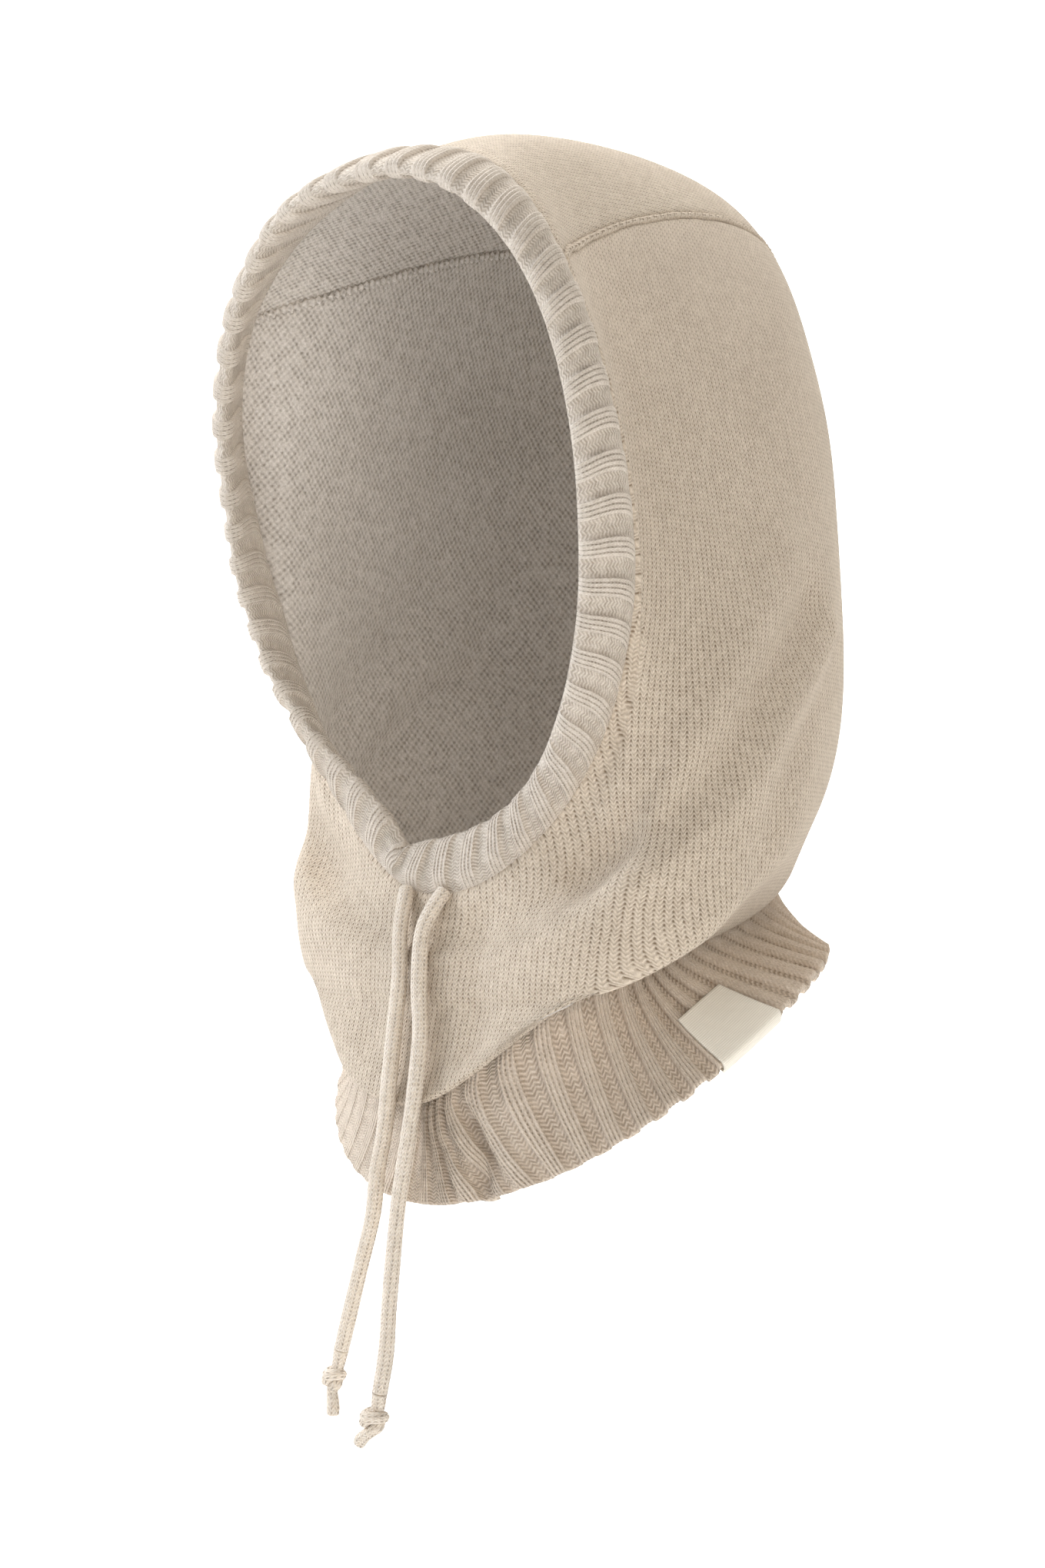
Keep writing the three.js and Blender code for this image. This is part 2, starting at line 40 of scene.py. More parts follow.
metre = 0.001  # every shape below is worked out in millimetres
waleWidth = 2.1  # one column of body stitches, mm
courseHeight = 1.6  # one row of stitches, mm
walesInRib = 8  # four raised wales and four sunk ones


# The photo's view: from a little left of the wearer's face, level with the nape.
cameraPlan = {"azimuth": 45.0, "elevation": -0.84, "distance": 1049.3, "target": (-16.0, -21.5, -235.0),
              "imageHeight": 2040, "pixelsPerMm": 3.5, "sensor": 36.0}


def addObject(name, data):
    thing = bpy.data.objects.new(name, data)
    bpy.context.scene.collection.objects.link(thing)
    return thing


def lookAlong(thing, direction):
    thing.rotation_mode = "QUATERNION"
    thing.rotation_quaternion = direction.to_track_quat("-Z", "Y")


def placeCamera(plan):
    azimuth = math.radians(plan["azimuth"])
    elevation = math.radians(plan["elevation"])
    back = Vector((math.sin(azimuth) * math.cos(elevation), -math.cos(azimuth) * math.cos(elevation),
                   math.sin(elevation)))
    camera = addObject("photoCamera", bpy.data.cameras.new("photoCamera"))
    camera.location = (Vector(plan["target"]) + back * plan["distance"]) * metre
    lookAlong(camera, -back)
    focalPixels = plan["pixelsPerMm"] * plan["distance"]
    camera.data.sensor_fit = "AUTO"
    camera.data.sensor_width = plan["sensor"]
    camera.data.lens = focalPixels / plan["imageHeight"] * plan["sensor"]
    camera.data.clip_end = 100
    bpy.context.scene.camera = camera


placeCamera(cameraPlan)
print("camera placed")


# Meshes: points in millimetres, faces as rows of point numbers.
def makePiece(name, points, faces, materials, replaced=(), stitches=None, finish=None):
    mesh = bpy.data.meshes.new(name)
    mesh.from_pydata((np.asarray(points) * metre).tolist(), [], [list(face) for face in faces])
    for material in materials:
        mesh.materials.append(material)
    mesh.polygons.foreach_set("use_smooth", [True] * len(mesh.polygons))
    if finish is not None:
        mesh.polygons.foreach_set("material_index", np.asarray(finish, dtype=np.int32))
    if stitches is not None:
        layer = mesh.uv_layers.new(name="stitches")
        layer.data.foreach_set("uv", np.asarray(stitches, dtype=np.float32).ravel())
    mesh.update()
    piece = addObject(name, mesh)
    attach(piece, "root")
    if replaced:
        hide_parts(*replaced)
    return piece


# Row and column of each cell of a grid. A closed direction has one cell more, back to its start.
def gridCells(rows, columns, closeRows, closeColumns):
    row, column = np.meshgrid(np.arange(rows if closeRows else rows - 1),
                              np.arange(columns if closeColumns else columns - 1), indexing="ij")
    return row.ravel(), column.ravel()


def gridFaces(rows, columns, closeRows=False, closeColumns=False, first=0):
    row, column = gridCells(rows, columns, closeRows, closeColumns)
    below, beside = (row + 1) % rows, (column + 1) % columns
    return first + np.stack([row * columns + column, row * columns + beside,
                             below * columns + beside, below * columns + column], axis=1)


# The stitch coordinates of each corner of those faces, counted on past a closed end.
def gridStitches(wale, course, closeRows=False, closeColumns=False, waleTurn=0.0, courseTurn=0.0):
    rows, columns = wale.shape
    firstRow, firstColumn = gridCells(rows, columns, closeRows, closeColumns)
    corners = []
    for down, over in ((0, 0), (0, 1), (1, 1), (1, 0)):
        row, column = firstRow + down, firstColumn + over
        pastRow, pastColumn = row >= rows, column >= columns
        row, column = row % rows, column % columns
        corners.append(np.stack([wale[row, column] + pastColumn * waleTurn,
                                 course[row, column] + pastRow * courseTurn], axis=1))
    return np.stack(corners, axis=1)


def signedVolume(points, faces):
    a, b, c, d = (points[faces[:, k]] for k in range(4))
    return (np.cross(a, b) * c).sum() + (np.cross(a, c) * d).sum()


def facedOut(points, faces, stitches):
    if signedVolume(points, faces) < 0:
        return faces[:, ::-1], stitches[:, ::-1]
    return faces, stitches


def unit(vectors):
    return vectors / np.maximum(np.linalg.norm(vectors, axis=-1, keepdims=True), 1e-9)


# The length of a line of points up to each of them.
def lengthsAlong(line):
    return np.concatenate([[0], np.cumsum(np.linalg.norm(np.diff(line, axis=0), axis=1))])


# A soft up-and-down wander, the same on every run, used wherever handwork is never quite even.
wanderDraw = np.random.default_rng(11)
wanderWaves = wanderDraw.uniform(-1, 1, (9, 3))
wanderStarts = wanderDraw.uniform(0, 2 * np.pi, 9)


def wander(points, size):
    total = np.zeros(points.shape[:-1])
    for direction, start in zip(wanderWaves, wanderStarts):
        total += np.sin((points @ direction) * 2 * np.pi / size + start)
    return total / 4


# Materials
def colour(hexText):
    values = [int(hexText[i:i + 2], 16) / 255 for i in (1, 3, 5)]
    return (*[v / 12.92 if v <= 0.04045 else ((v + 0.055) / 1.055) ** 2.4 for v in values], 1.0)


# Adds one node. Inputs are values, or other nodes, whose first output is linked.
def addNode(tree, kind, settings=None, inputs=None):
    node = tree.nodes.new("ShaderNode" + kind)
    for key, value in (settings or {}).items():
        setattr(node, key, value)
    for key, value in (inputs or {}).items():
        if isinstance(value, bpy.types.Node):
            value = value.outputs[0]
        if isinstance(value, bpy.types.NodeSocket):
            tree.links.new(value, node.inputs[key])
        else:
            node.inputs[key].default_value = value
    return node


def newMaterial(name):
    material = bpy.data.materials.new(name)
    material.use_nodes = True
    material.node_tree.nodes.clear()
    return material, material.node_tree


def mixColours(tree, share, first, second, blend="MIX"):
    settings = {"data_type": "RGBA", "blend_type": blend}
    return addNode(tree, "Mix", settings, {0: share, 6: first, 7: second}).outputs[2]


# Sums done one after another on a value. Each step is the kind of sum, then its other values.
def sumOf(tree, steps):
    result = steps[0]
    for operation, *others in steps[1:]:
        result = addNode(tree, "Math", {"operation": operation}, dict(enumerate([result, *others])))
    return result


# A wave that runs from 0 to 1, once for each whole number.
def wave(tree, place, steps=()):
    return sumOf(tree, [place, *steps, ("MULTIPLY", 2 * math.pi), ("COSINE",), ("MULTIPLY_ADD", 0.5, 0.5)])


# Knit side: each wale is a column of V stitches. Each value is how deep a hollow lies in it: between its
# legs, between two wales and down its middle. Steady is the share of a gap that stays open between pinches.
plainStitch = {"legs": 0.42, "gap": 0.9, "middle": 0.22, "steady": 0.35}
ribStitch = {"legs": 0.2, "gap": 0.8, "middle": 0.22, "steady": 0.6}


def knitStitch(tree, wale, course, plan):
    steady = plan["steady"]
    aside = sumOf(tree, [wale, ("FRACT",), ("SUBTRACT", 0.5), ("ABSOLUTE",), ("MULTIPLY", 2.0)])
    pinch = sumOf(tree, [wave(tree, course), ("POWER", 1.5), ("MULTIPLY_ADD", 1 - steady, steady)])
    between = sumOf(tree, [aside, ("POWER", 3.0), ("MULTIPLY", pinch), ("MULTIPLY", plan["gap"])])
    middle = sumOf(tree, [aside, ("MULTIPLY_ADD", -1.0, 1.0), ("POWER", 3.0),
                          ("MULTIPLY", plan["middle"])])
    leg = sumOf(tree, [wave(tree, course, [("SUBTRACT", aside)]), ("MULTIPLY", plan["legs"])])
    return sumOf(tree, [between, ("MULTIPLY_ADD", -1.0, 1.0), ("SUBTRACT", middle), ("SUBTRACT", leg)])


# Purl side: small bumps, each set above the gap between the two below it, with a pit between.
def purlStitch(tree, wale, course):
    across = sumOf(tree, [wale, ("MULTIPLY", 2 * math.pi), ("COSINE",)])
    along = sumOf(tree, [course, ("MULTIPLY", math.pi), ("COSINE",)])
    return sumOf(tree, [across, ("MULTIPLY", along), ("MULTIPLY_ADD", -0.5, 0.5), ("POWER", 0.6)])


# The sunk part of a rib: two columns of slanting threads that meet in a zigzag.
def ladderStitch(tree, wale, course):
    slant = sumOf(tree, [wale, ("DIVIDE", 2.0), ("FRACT",), ("SUBTRACT", 0.5), ("ABSOLUTE",),
                         ("MULTIPLY", 1.5)])
    thread = wave(tree, course, [("ADD", slant)])
    return sumOf(tree, [thread, ("MULTIPLY_ADD", 0.55, 0.35)])


# Scales of the wool's noise, in cells a metre. Real fibre is about 0.02 mm thick, too fine to be seen from
# here, so its cells are drawn at 0.4 mm. Flecks are 0.7 mm, patches 3 mm and clouds 38 mm.
woolGrain = {"fibre": 2600.0, "fleck": 1400.0, "patch": 300.0, "cloud": 26.0}


# Merino wool, spun loosely and machine knitted: matt, with a soft bloom of fibre at the edges,
# flecked where pale and darker fibres were carded together, with painted shade down between the stitches.
def knittedWool(name, look):
    material, tree = newMaterial(name)
    place = addNode(tree, "UVMap", {"uv_map": "stitches"})
    solidPlace = addNode(tree, "TexCoord").outputs["Object"]

    def noise(scale, detail, roughness=0.5):
        return addNode(tree, "TexNoise", None, {"Vector": solidPlace, "Scale": scale, "Detail": detail,
                                                "Roughness": roughness})

    uneven = noise(look["unevenScale"], 3.0, 0.65)
    shifted = addNode(tree, "VectorMath", {"operation": "MULTIPLY_ADD"},
                      {0: uneven.outputs["Color"], 1: (look["uneven"],) * 3, 2: place})
    split = addNode(tree, "SeparateXYZ", None, {0: shifted})
    wale, course = split.outputs[0], split.outputs[1]
    if look["stitch"] == "knit":
        height = knitStitch(tree, wale, course, plainStitch)
    elif look["stitch"] == "purl":
        height = purlStitch(tree, wale, course)
    else:
        raised = sumOf(tree, [wale, ("DIVIDE", float(walesInRib)), ("FRACT",), ("LESS_THAN", 0.5)])
        height = addNode(tree, "Mix", {"data_type": "FLOAT"},
                         {0: raised, 2: ladderStitch(tree, wale, course),
                          3: knitStitch(tree, wale, course, ribStitch)})
    patch = addNode(tree, "MapRange", None,
                    {0: noise(woolGrain["patch"], 2.0), 1: 0.35, 2: 0.62, 3: look["fainter"], 4: 1.0})
    gap = sumOf(tree, [height, ("MULTIPLY_ADD", -1.0, 1.0), ("MULTIPLY", patch)])
    height = sumOf(tree, [gap, ("MULTIPLY_ADD", -1.0, 1.0)])
    relief = sumOf(tree, [noise(woolGrain["fibre"], 3.0), ("MULTIPLY_ADD", look["fuzz"], height)])
    bump = addNode(tree, "Bump", None,
                   {"Height": relief, "Strength": look["strength"], "Distance": look["depth"] * metre})
    white = colour("#ffffff")
    fleck = addNode(tree, "MapRange", None, {0: noise(woolGrain["fleck"], 4.0, 0.7), 1: 0.38, 2: 0.66})
    flecked = mixColours(tree, fleck, colour(look["dark"]), colour(look["pale"]))
    cloud = mixColours(tree, noise(woolGrain["cloud"], 2.0), colour("#d9d6d2"), white)
    clouded = mixColours(tree, 0.5, flecked, cloud, "MULTIPLY")
    # Painted shade: the colour darkens towards the groove colour wherever the stitch height lies low, most in
    # rib hollows.
    paintedGrooveShade = mixColours(tree, height, colour(look["groove"]), white)
    shaded = mixColours(tree, look["grooveShade"], clouded, paintedGrooveShade, "MULTIPLY")
    shader = addNode(tree, "BsdfPrincipled", None,
                     {"Base Color": shaded, "Roughness": 0.92, "Specular IOR Level": 0.2,
                      "Sheen Weight": 0.35, "Sheen Roughness": 0.55, "Sheen Tint": colour("#efe4d4"),
                      "Normal": bump})
    addNode(tree, "OutputMaterial", None, {"Surface": shader})
    return material


# The depth of the stitches is in mm. Fainter is how much of a stitch shows where the fibre covers it most.
# Groove is the colour of the painted shade down between the stitches; grooveShade is how much of it is laid
# on.
woolColumns = ["name", "stitch", "pale", "dark", "groove", "grooveShade", "depth", "strength", "fuzz",
               "uneven", "unevenScale", "fainter"]
woolRows = [
    ["merinoWoolKnitSide", "knit", "#f3e6d5", "#dfcfba", "#867259", 0.85, 0.6, 0.9, 0.4, 0.45, 200.0, 0.7],
    ["merinoWoolPurlSide", "purl", "#ebe4dc", "#d3cabf", "#857969", 0.7, 0.55, 1.0, 0.4, 0.7, 300.0, 0.35],
    ["merinoWoolBandRib", "rib", "#efe6db", "#dbcfc0", "#8f7d67", 0.85, 0.6, 0.95, 0.4, 0.35, 200.0, 0.6],
    ["merinoWoolNeckRib", "rib", "#f2e5d6", "#decdb9", "#867259", 0.85, 0.6, 0.95, 0.4, 0.35, 200.0, 0.6],
    ["merinoWoolCordKnit", "knit", "#fff7ec", "#f2e4d1", "#8a7152", 0.55, 0.6, 0.9, 0.45, 0.35, 300.0, 0.7],
]
wool = {row[0]: knittedWool(row[0], dict(zip(woolColumns, row))) for row in woolRows}
bothSidesKnit = [wool["merinoWoolKnitSide"], wool["merinoWoolPurlSide"]]
print("wool materials made")


# Cords first. The points are the CAD routes, in millimetres.
cordPlan = {"diameter": 5.7, "wales": 8, "sides": 48, "ringStep": 0.75, "waleRelief": 0.2, "twist": 1.1,
            "swell": 0.03, "swellSize": 26.0}
cordRoutes = {
    "left": {
        "tuck": [5.6, -81.6, -273.6],
        "line": [[4.9, -84.9, -277.4], [2.2, -88.7, -286.5], [3.1, -91.7, -305.1], [5.6, -93.4, -323.7],
                 [6.3, -96.6, -342.1], [3.3, -97.3, -360.9], [-0.8, -97.5, -380.2], [-3.6, -97.8, -402.1],
                 [-5.1, -98.2, -418.2], [-6.2, -98.6, -434.4], [-9, -99, -448.6]],
        "knot": {"centre": [-11.7, -99.4, -458.1], "tailEnd": [-19.1, -100, -468.2],
                 "wide": 5.8, "tall": 4.6},
    },
    "right": {
        "tuck": [-14.0, -81.8, -273.6],
        "line": [[-11.5, -85.1, -277.4], [-9.7, -88.7, -286.8], [-7.2, -91.7, -305.5], [-8.1, -92.8, -319.9],
                 [-7.3, -96.1, -338.5], [-9.1, -96.8, -357.4], [-12.5, -97, -371.6], [-14.5, -97.3, -387.1],
                 [-19.7, -97.7, -403.8], [-25, -98.1, -420.6], [-29.8, -98.5, -436.1]],
        "knot": {"centre": [-33.4, -99, -446.4], "tailEnd": [-33.1, -99.6, -460.1],
                 "wide": 4.6, "tall": 5},
    },
}


# A value that is first at start, last at end and straight between them.
def mixed(first, last, start, end, t):
    return (first * (end - t) + last * (t - start)) / (end - start)


# A smooth line through the points, at even steps along it.
def smoothLine(points, step):
    points = np.asarray(points, dtype=float)
    padded = np.vstack([2 * points[0] - points[1], points, 2 * points[-1] - points[-2]])
    pieces = []
    for i in range(1, len(padded) - 2):
        p0, p1, p2, p3 = padded[i - 1:i + 3]
        gaps = np.linalg.norm(np.diff(padded[i - 1:i + 3], axis=0), axis=1) ** 0.5
        k0, k1, k2, k3 = np.cumsum([0, *gaps])
        t = np.linspace(k1, k2, 60)[:, None]
        a1, a2, a3 = mixed(p0, p1, k0, k1, t), mixed(p1, p2, k1, k2, t), mixed(p2, p3, k2, k3, t)
        pieces.append(mixed(mixed(a1, a2, k0, k2, t), mixed(a2, a3, k1, k3, t), k1, k2, t))
    return evenSteps(np.vstack(pieces), step)


def evenSteps(line, step):
    lengths = lengthsAlong(line)
    count = max(int(round(lengths[-1] / step)), 2)
    places = np.linspace(0, lengths[-1], count + 1)
    return np.stack([np.interp(places, lengths, line[:, k]) for k in range(3)], axis=1)


def roundAngles(count):
    return np.linspace(0, 2 * np.pi, count, endpoint=False)


# Rings of points round a line, with one radius for each side of each ring.
def tubeRings(line, radii, twist=0.0):
    side = np.array([1.0, 0.0, 0.0])
    angles = roundAngles(radii.shape[1])
    rings = []
    for place, direction, radius, turn in zip(line, unit(np.gradient(line, axis=0)), radii,
                                              np.linspace(0, twist, len(line))):
        side = unit(side - side @ direction * direction)
        other = np.cross(direction, side)
        turned = (angles + turn)[:, None]
        rings.append(place + radius[:, None] * (np.cos(turned) * side + np.sin(turned) * other))
    return np.array(rings)


def closedTube(rings, wales, course):
    rows, sides = rings.shape[:2]
    points = rings.reshape(-1, 3)
    faces = [list(face[::-1]) for face in gridFaces(rows, sides, closeColumns=True)]
    wale = np.broadcast_to(np.arange(sides) / sides * wales, (rows, sides))
    row = np.broadcast_to(np.asarray(course)[:, None], (rows, sides))
    stitches = gridStitches(wale, row, closeColumns=True, waleTurn=wales)[:, ::-1].reshape(-1, 2)
    for ring, order in ((0, 1), (rows - 1, -1)):
        middle = len(points)
        points = np.vstack([points, rings[ring].mean(axis=0)])
        for k in range(sides):
            pair = [ring * sides + k, ring * sides + (k + 1) % sides]
            faces.append([middle, *pair[::order]])
    ends = [[0.5, 0.5], [0.4, 0.4], [0.6, 0.4]] * (2 * sides)
    return points, faces, np.vstack([stitches, ends])


# Wales stand out along the cord, with a dip between two of them.
def waleRadii(radius, plan):
    angles = roundAngles(plan["sides"])
    dip = 1 - np.abs(np.sin(angles * plan["wales"] / 2)) ** 0.7
    return radius[:, None] - plan["waleRelief"] * dip


def makeCord(side, plan, route):
    line = smoothLine([route["tuck"], *route["line"]], plan["ringStep"])
    course = np.arange(len(line)) * plan["ringStep"] / courseHeight
    swell = 1 + plan["swell"] * wander(line, plan["swellSize"])
    radii = waleRadii(plan["diameter"] / 2 * swell, plan)
    points, faces, stitches = closedTube(tubeRings(line, radii, plan["twist"]), plan["wales"], course)
    cord = makePiece(f"knitCord_{side}", points, faces, [wool["merinoWoolCordKnit"]],
                     [f"tie_cord_{side}"], stitches)
    return cord, line


# The knot is one pass of the same cord round itself: rows are across, depth and height in half sizes.
# Each girth row is a share of the way along it and the strand's radius there.
knotPlan = {"strand": 2.15, "step": 0.55, "wales": 6, "sides": 36, "waleRelief": 0.2, "entryOverlap": 0.3,
            "tailStart": 0.72,
            "girth": [[0, 2.8], [0.06, 2.6], [0.16, 2.15], [0.84, 2.15], [0.95, 2.5], [0.99, 2.3], [1, 1.5]],
            "path": [[0.05, 0.0, 1.35], [0.1, 0.05, 0.75], [-0.3, 0.1, 0.1], [-0.72, 0.05, -0.45],
                     [-0.35, 0.75, -0.62], [0.45, 0.85, -0.2], [0.8, 0.1, 0.35], [0.35, -0.8, 0.5],
                     [-0.45, -0.85, 0.3], [-0.78, 0.0, 0.12], [-0.25, 0.7, 0.3], [0.4, 0.35, -0.05],
                     [0.55, -0.35, -0.5], [0.25, -0.2, -0.95]]}


def makeKnot(side, plan, route):
    knot = route["knot"]
    centre = np.array(knot["centre"], dtype=float)
    entry = np.array(route["line"][-1], dtype=float)
    down = unit(centre - entry)
    across = unit(np.array([1.0, 1.0, 0.0]) - np.array([1.0, 1.0, 0.0]) @ down * down)
    depth = np.cross(down, across)
    depth = depth if depth[1] > 0 else -depth
    strand = plan["strand"]
    wide, deep, tall = knot["wide"] - strand * 0.8, knot["wide"] - strand, knot["tall"] - strand * 0.4
    path = [centre + across * a * wide + depth * d * deep - down * h * tall for a, d, h in plan["path"]]
    path[0] = entry + down * plan["entryOverlap"]
    tailEnd = np.array(knot["tailEnd"], dtype=float)
    path += [mixed(centre, tailEnd, 0, 1, plan["tailStart"]), tailEnd]
    line = smoothLine(path, plan["step"])
    girth = np.interp(np.linspace(0, 1, len(line)), *np.transpose(plan["girth"]))
    course = np.arange(len(line)) * plan["step"] / courseHeight
    points, faces, stitches = closedTube(tubeRings(line, waleRadii(girth, plan)), plan["wales"], course)
    return makePiece(f"overhandKnot_{side}", points, faces, [wool["merinoWoolCordKnit"]],
                     [f"tie_knot_{side}"], stitches)


for side, route in cordRoutes.items():
    cord, cordLine = makeCord(side, cordPlan, route)
    knot = makeKnot(side, knotPlan, route)


# The soft shell: sections from the fold of the band (0) round to the overhang (10), as in the CAD source.
sectionColumns = ["throatY", "throatZ", "topY", "topZ", "halfWidth", "roundness", "backRoundness",
                  "skew", "sideOut", "lowOut", "hang", "crownAngle"]
sectionRows = np.array([
    [-77, -253, -119, -25, 91.2, 0.83, 0.83, 0.03, -1, -4, 0, 1.1],
    [-81, -275, -88, -13, 97, 1.02, 1.02, 0.05, -30, 58, 0, 1.0],
    [-84, -285, -52, -1, 91, 1.1, 1.1, -0.07, -30, 56, 0, 0.78],
    [-85, -291, -1, 3, 92, 1.08, 1.08, -0.13, -11, 27, 0, 0.58],
    [-87, -296, 46, -3, 96, 1.02, 1.02, -0.17, -2, 3, 0, 0.44],
    [-87, -302, 74, -23, 100, 0.98, 0.98, -0.19, 7, -9, 0, 0.35],
    [-88, -309, 89, -66, 102, 0.98, 0.98, -0.19, 18, -16, 0, 0.32],
    [-87, -314, 97, -118, 100, 1, 1, -0.2, 24, -24, 0, 0.3],
    [-88, -321, 104, -171, 95, 1.03, 0.98, -0.18, 21, -34, 0, 0.28],
    [-90, -333, 102, -217, 84, 1.1, 0.93, -0.16, 11, -43, 8, 0.26],
    [-94, -347, 93, -257, 70, 1.25, 0.9, -0.12, 3, -47, 26, 0.24],
])
hem = dict(zip([*sectionColumns, "chinShare"],
               [-89, -382, 83, -296.5, 97, 1.01, 0.95, 0.01, -31, 13, 0, 0, 0]))

# Soft folds of the shell: ridges and, with a height below 0, valleys. Each row is the height, the width,
# the share of it on the wearer's right, and the line that the fold follows on the left.
folds = [
    [2.8, 13, 0.6, [[84, -68, -240], [93, -57, -226], [98, -38, -208], [97, -20, -180], [92, 0, -152]]],
    [-5.0, 11, 0.6, [[64, -73, -267], [90, -63, -253], [99, -43, -233], [99, -18, -204], [93, 15, -175]]],
    [3.2, 9, 0.7, [[84, -72, -269], [98, -52, -253], [103, -31, -235], [102, -5, -208], [91, 30, -181]]],
    [-2.6, 9, 0.7, [[99, -19, -261], [101, -8, -235], [97, 13, -210], [86, 42, -190]]],
    [-2.4, 8, 0.5, [[22, -83, -284], [26, -86, -305], [26, -88, -328]]],
    [2.6, 18, 1, [[60, -80, -285], [78, -66, -292], [92, -46, -288]]],
    [-2.6, 19, 0, [[-60, -90, -268], [-63, -89, -296]]],
]
chin = {"depth": 12.0, "place": -20.0, "leftReach": 14.0, "rightReach": 9.0, "leftPull": 0.17,
        "rightPull": 0.44, "pullStart": 0.42}
shellPlan = {"wall": 2.6, "bendWall": 1.5, "bendStart": 8.6, "crownTip": 6.7, "underBand": 1.6,
             "edgeDepth": 0.9, "seamAngleGap": 0.003, "lipFront": 3.4, "lipBack": 6.4, "lipStart": 9.55,
             "lipRound": 1.5, "lipArc": (0.1, 0.75), "lipLift": 0.46, "insideStart": 0.4, "bendFade": 0.4,
             "foldFadeIn": 0.8, "foldFadeOut": 1.2, "backStart": 0.3}


# The bends of a smooth curve through the values, one for each of them.
def splineBends(values):
    n = len(values)
    upper, right, bends = np.zeros(n), np.zeros(n), np.zeros(n)
    for i in range(1, n - 1):
        pivot = 4 - upper[i - 1]
        upper[i] = 1 / pivot
        right[i] = (6 * (values[i + 1] - 2 * values[i] + values[i - 1]) - right[i - 1]) / pivot
    for i in range(n - 2, 0, -1):
        bends[i] = right[i] - upper[i] * bends[i + 1]
    return bends


sectionBends = np.array([splineBends(sectionRows[:, k]) for k in range(len(sectionColumns))]).T


def sectionAt(t):
    t = np.asarray(t, dtype=float)
    i = np.clip(np.floor(t).astype(int), 0, len(sectionRows) - 2)
    f = (t - i)[..., None]
    g = 1 - f
    values = (sectionRows[i] * g + sectionRows[i + 1] * f
              + ((g ** 3 - g) * sectionBends[i] + (f ** 3 - f) * sectionBends[i + 1]) / 6)
    section = {name: values[..., k] for k, name in enumerate(sectionColumns)}
    section["chinShare"] = np.clip(1 - t, 0, 1)
    return section


def loopPoint(section, turn):
    c, s = np.cos(turn), np.sin(turn)
    rise = 0.5 - 0.5 * c + section["skew"] * s * s
    dy = section["topY"] - section["throatY"]
    dz = section["topZ"] - section["throatZ"]
    length = np.hypot(dy, dz)
    out = section["sideOut"] * s * s + section["lowOut"] * s * s * (1 + c) / 2
    drop = section["hang"] * np.maximum(-s, 0) ** 1.5 * (1 + c) / 2
    behind = (np.maximum(-c - shellPlan["backStart"], 0) / (1 - shellPlan["backStart"])) ** 2
    ahead = np.maximum(c - chin["pullStart"], 0) / (1 - chin["pullStart"])
    pull = np.where(s > 0, chin["leftPull"], chin["rightPull"]) * section["chinShare"]
    power = section["roundness"] + (section["backRoundness"] - section["roundness"]) * behind + pull * ahead
    return np.stack([section["halfWidth"] * np.sign(s) * np.abs(s) ** power,
                     section["throatY"] + dy * rise + (dz / length) * out,
                     section["throatZ"] + dz * rise - (dy / length) * out - drop], axis=-1)


# The band's fold dips to a point under the chin, a little to the wearer's right.
def plainShell(t, turn):
    section = sectionAt(t)
    points = loopPoint(section, turn)
    aside = points[..., 0] - chin["place"]
    reach = np.where(aside > 0, chin["leftReach"], chin["rightReach"])
    share = section["chinShare"] ** 1.2 * (np.cos(turn) > 0)
    points[..., 2] -= chin["depth"] * share * np.exp(-np.abs(aside) / reach)
    return points


def lineDistance(points, line):
    best = np.full(points.shape[:-1], np.inf)
    for start, end in zip(line[:-1], line[1:]):
        run = end - start
        share = np.clip(((points - start) @ run) / (run @ run), 0, 1)
        best = np.minimum(best, np.linalg.norm(points - start - share[..., None] * run, axis=-1))
    return best


def foldHeight(points, rows):
    total = np.zeros(points.shape[:-1])
    for height, width, rightShare, line in rows:
        for side, share in ((1, 1), (-1, rightShare)):
            if share:
                distance = lineDistance(points, np.array(line, dtype=float) * (side, 1, 1))
                total += height * share * np.exp(-(distance / width) ** 2)
    return total


def normalOf(surface, a, b, step=0.01):
    along = surface(a + step, b) - surface(a - step, b)
    around = surface(a, b + step) - surface(a, b - step)
    return unit(np.cross(along, around))


def offsetPoint(surface, a, b, depth):
    return surface(a, b) - normalOf(surface, a, b) * np.asarray(depth)[..., None]


def shell(t, turn):
    points = plainShell(t, turn)
    fade = np.clip(np.minimum((t - 1) / shellPlan["foldFadeIn"], (10 - t) / shellPlan["foldFadeOut"]), 0, 1)
    return points + normalOf(plainShell, t, turn) * (foldHeight(points, folds) * fade)[..., None]


# The edge that is tucked a little under the band.
def underBand(turn, depth):
    one = np.ones_like(turn)
    around = unit(shell(one, turn + 0.01) - shell(one, turn - 0.01))
    normal = normalOf(shell, one, turn)
    return shell(one, turn) - np.cross(around, normal) * shellPlan["underBand"] - normal * depth


def crownHalfAngle(t, tip):
    share = np.minimum((t - 1) / (tip - 1), 1)
    return sectionAt(t)["crownAngle"] * np.sqrt(np.maximum(1 - share ** 8, 0))


def shellEnd(turn):
    return plainShell(np.full_like(turn, len(sectionRows) - 1.0), turn)


def levelOut(turn):
    along = shellEnd(turn + 0.25) - shellEnd(turn - 0.25)
    return unit(np.stack([along[..., 1], -along[..., 0], np.zeros_like(turn)], axis=-1))


def lipWidth(turn):
    return shellPlan["lipFront"] + (shellPlan["lipBack"] - shellPlan["lipFront"]) * (1 - np.cos(turn)) / 2


def lip(share, turn):
    arcStart, arcSpan = shellPlan["lipArc"]
    arc = np.sin(np.pi * np.minimum(share * arcSpan + arcStart, 1))
    points = shellEnd(turn) - levelOut(turn) * (lipWidth(turn) * share)[..., None]
    points[..., 2] -= shellPlan["lipRound"] * arc - shellPlan["lipLift"]
    return points


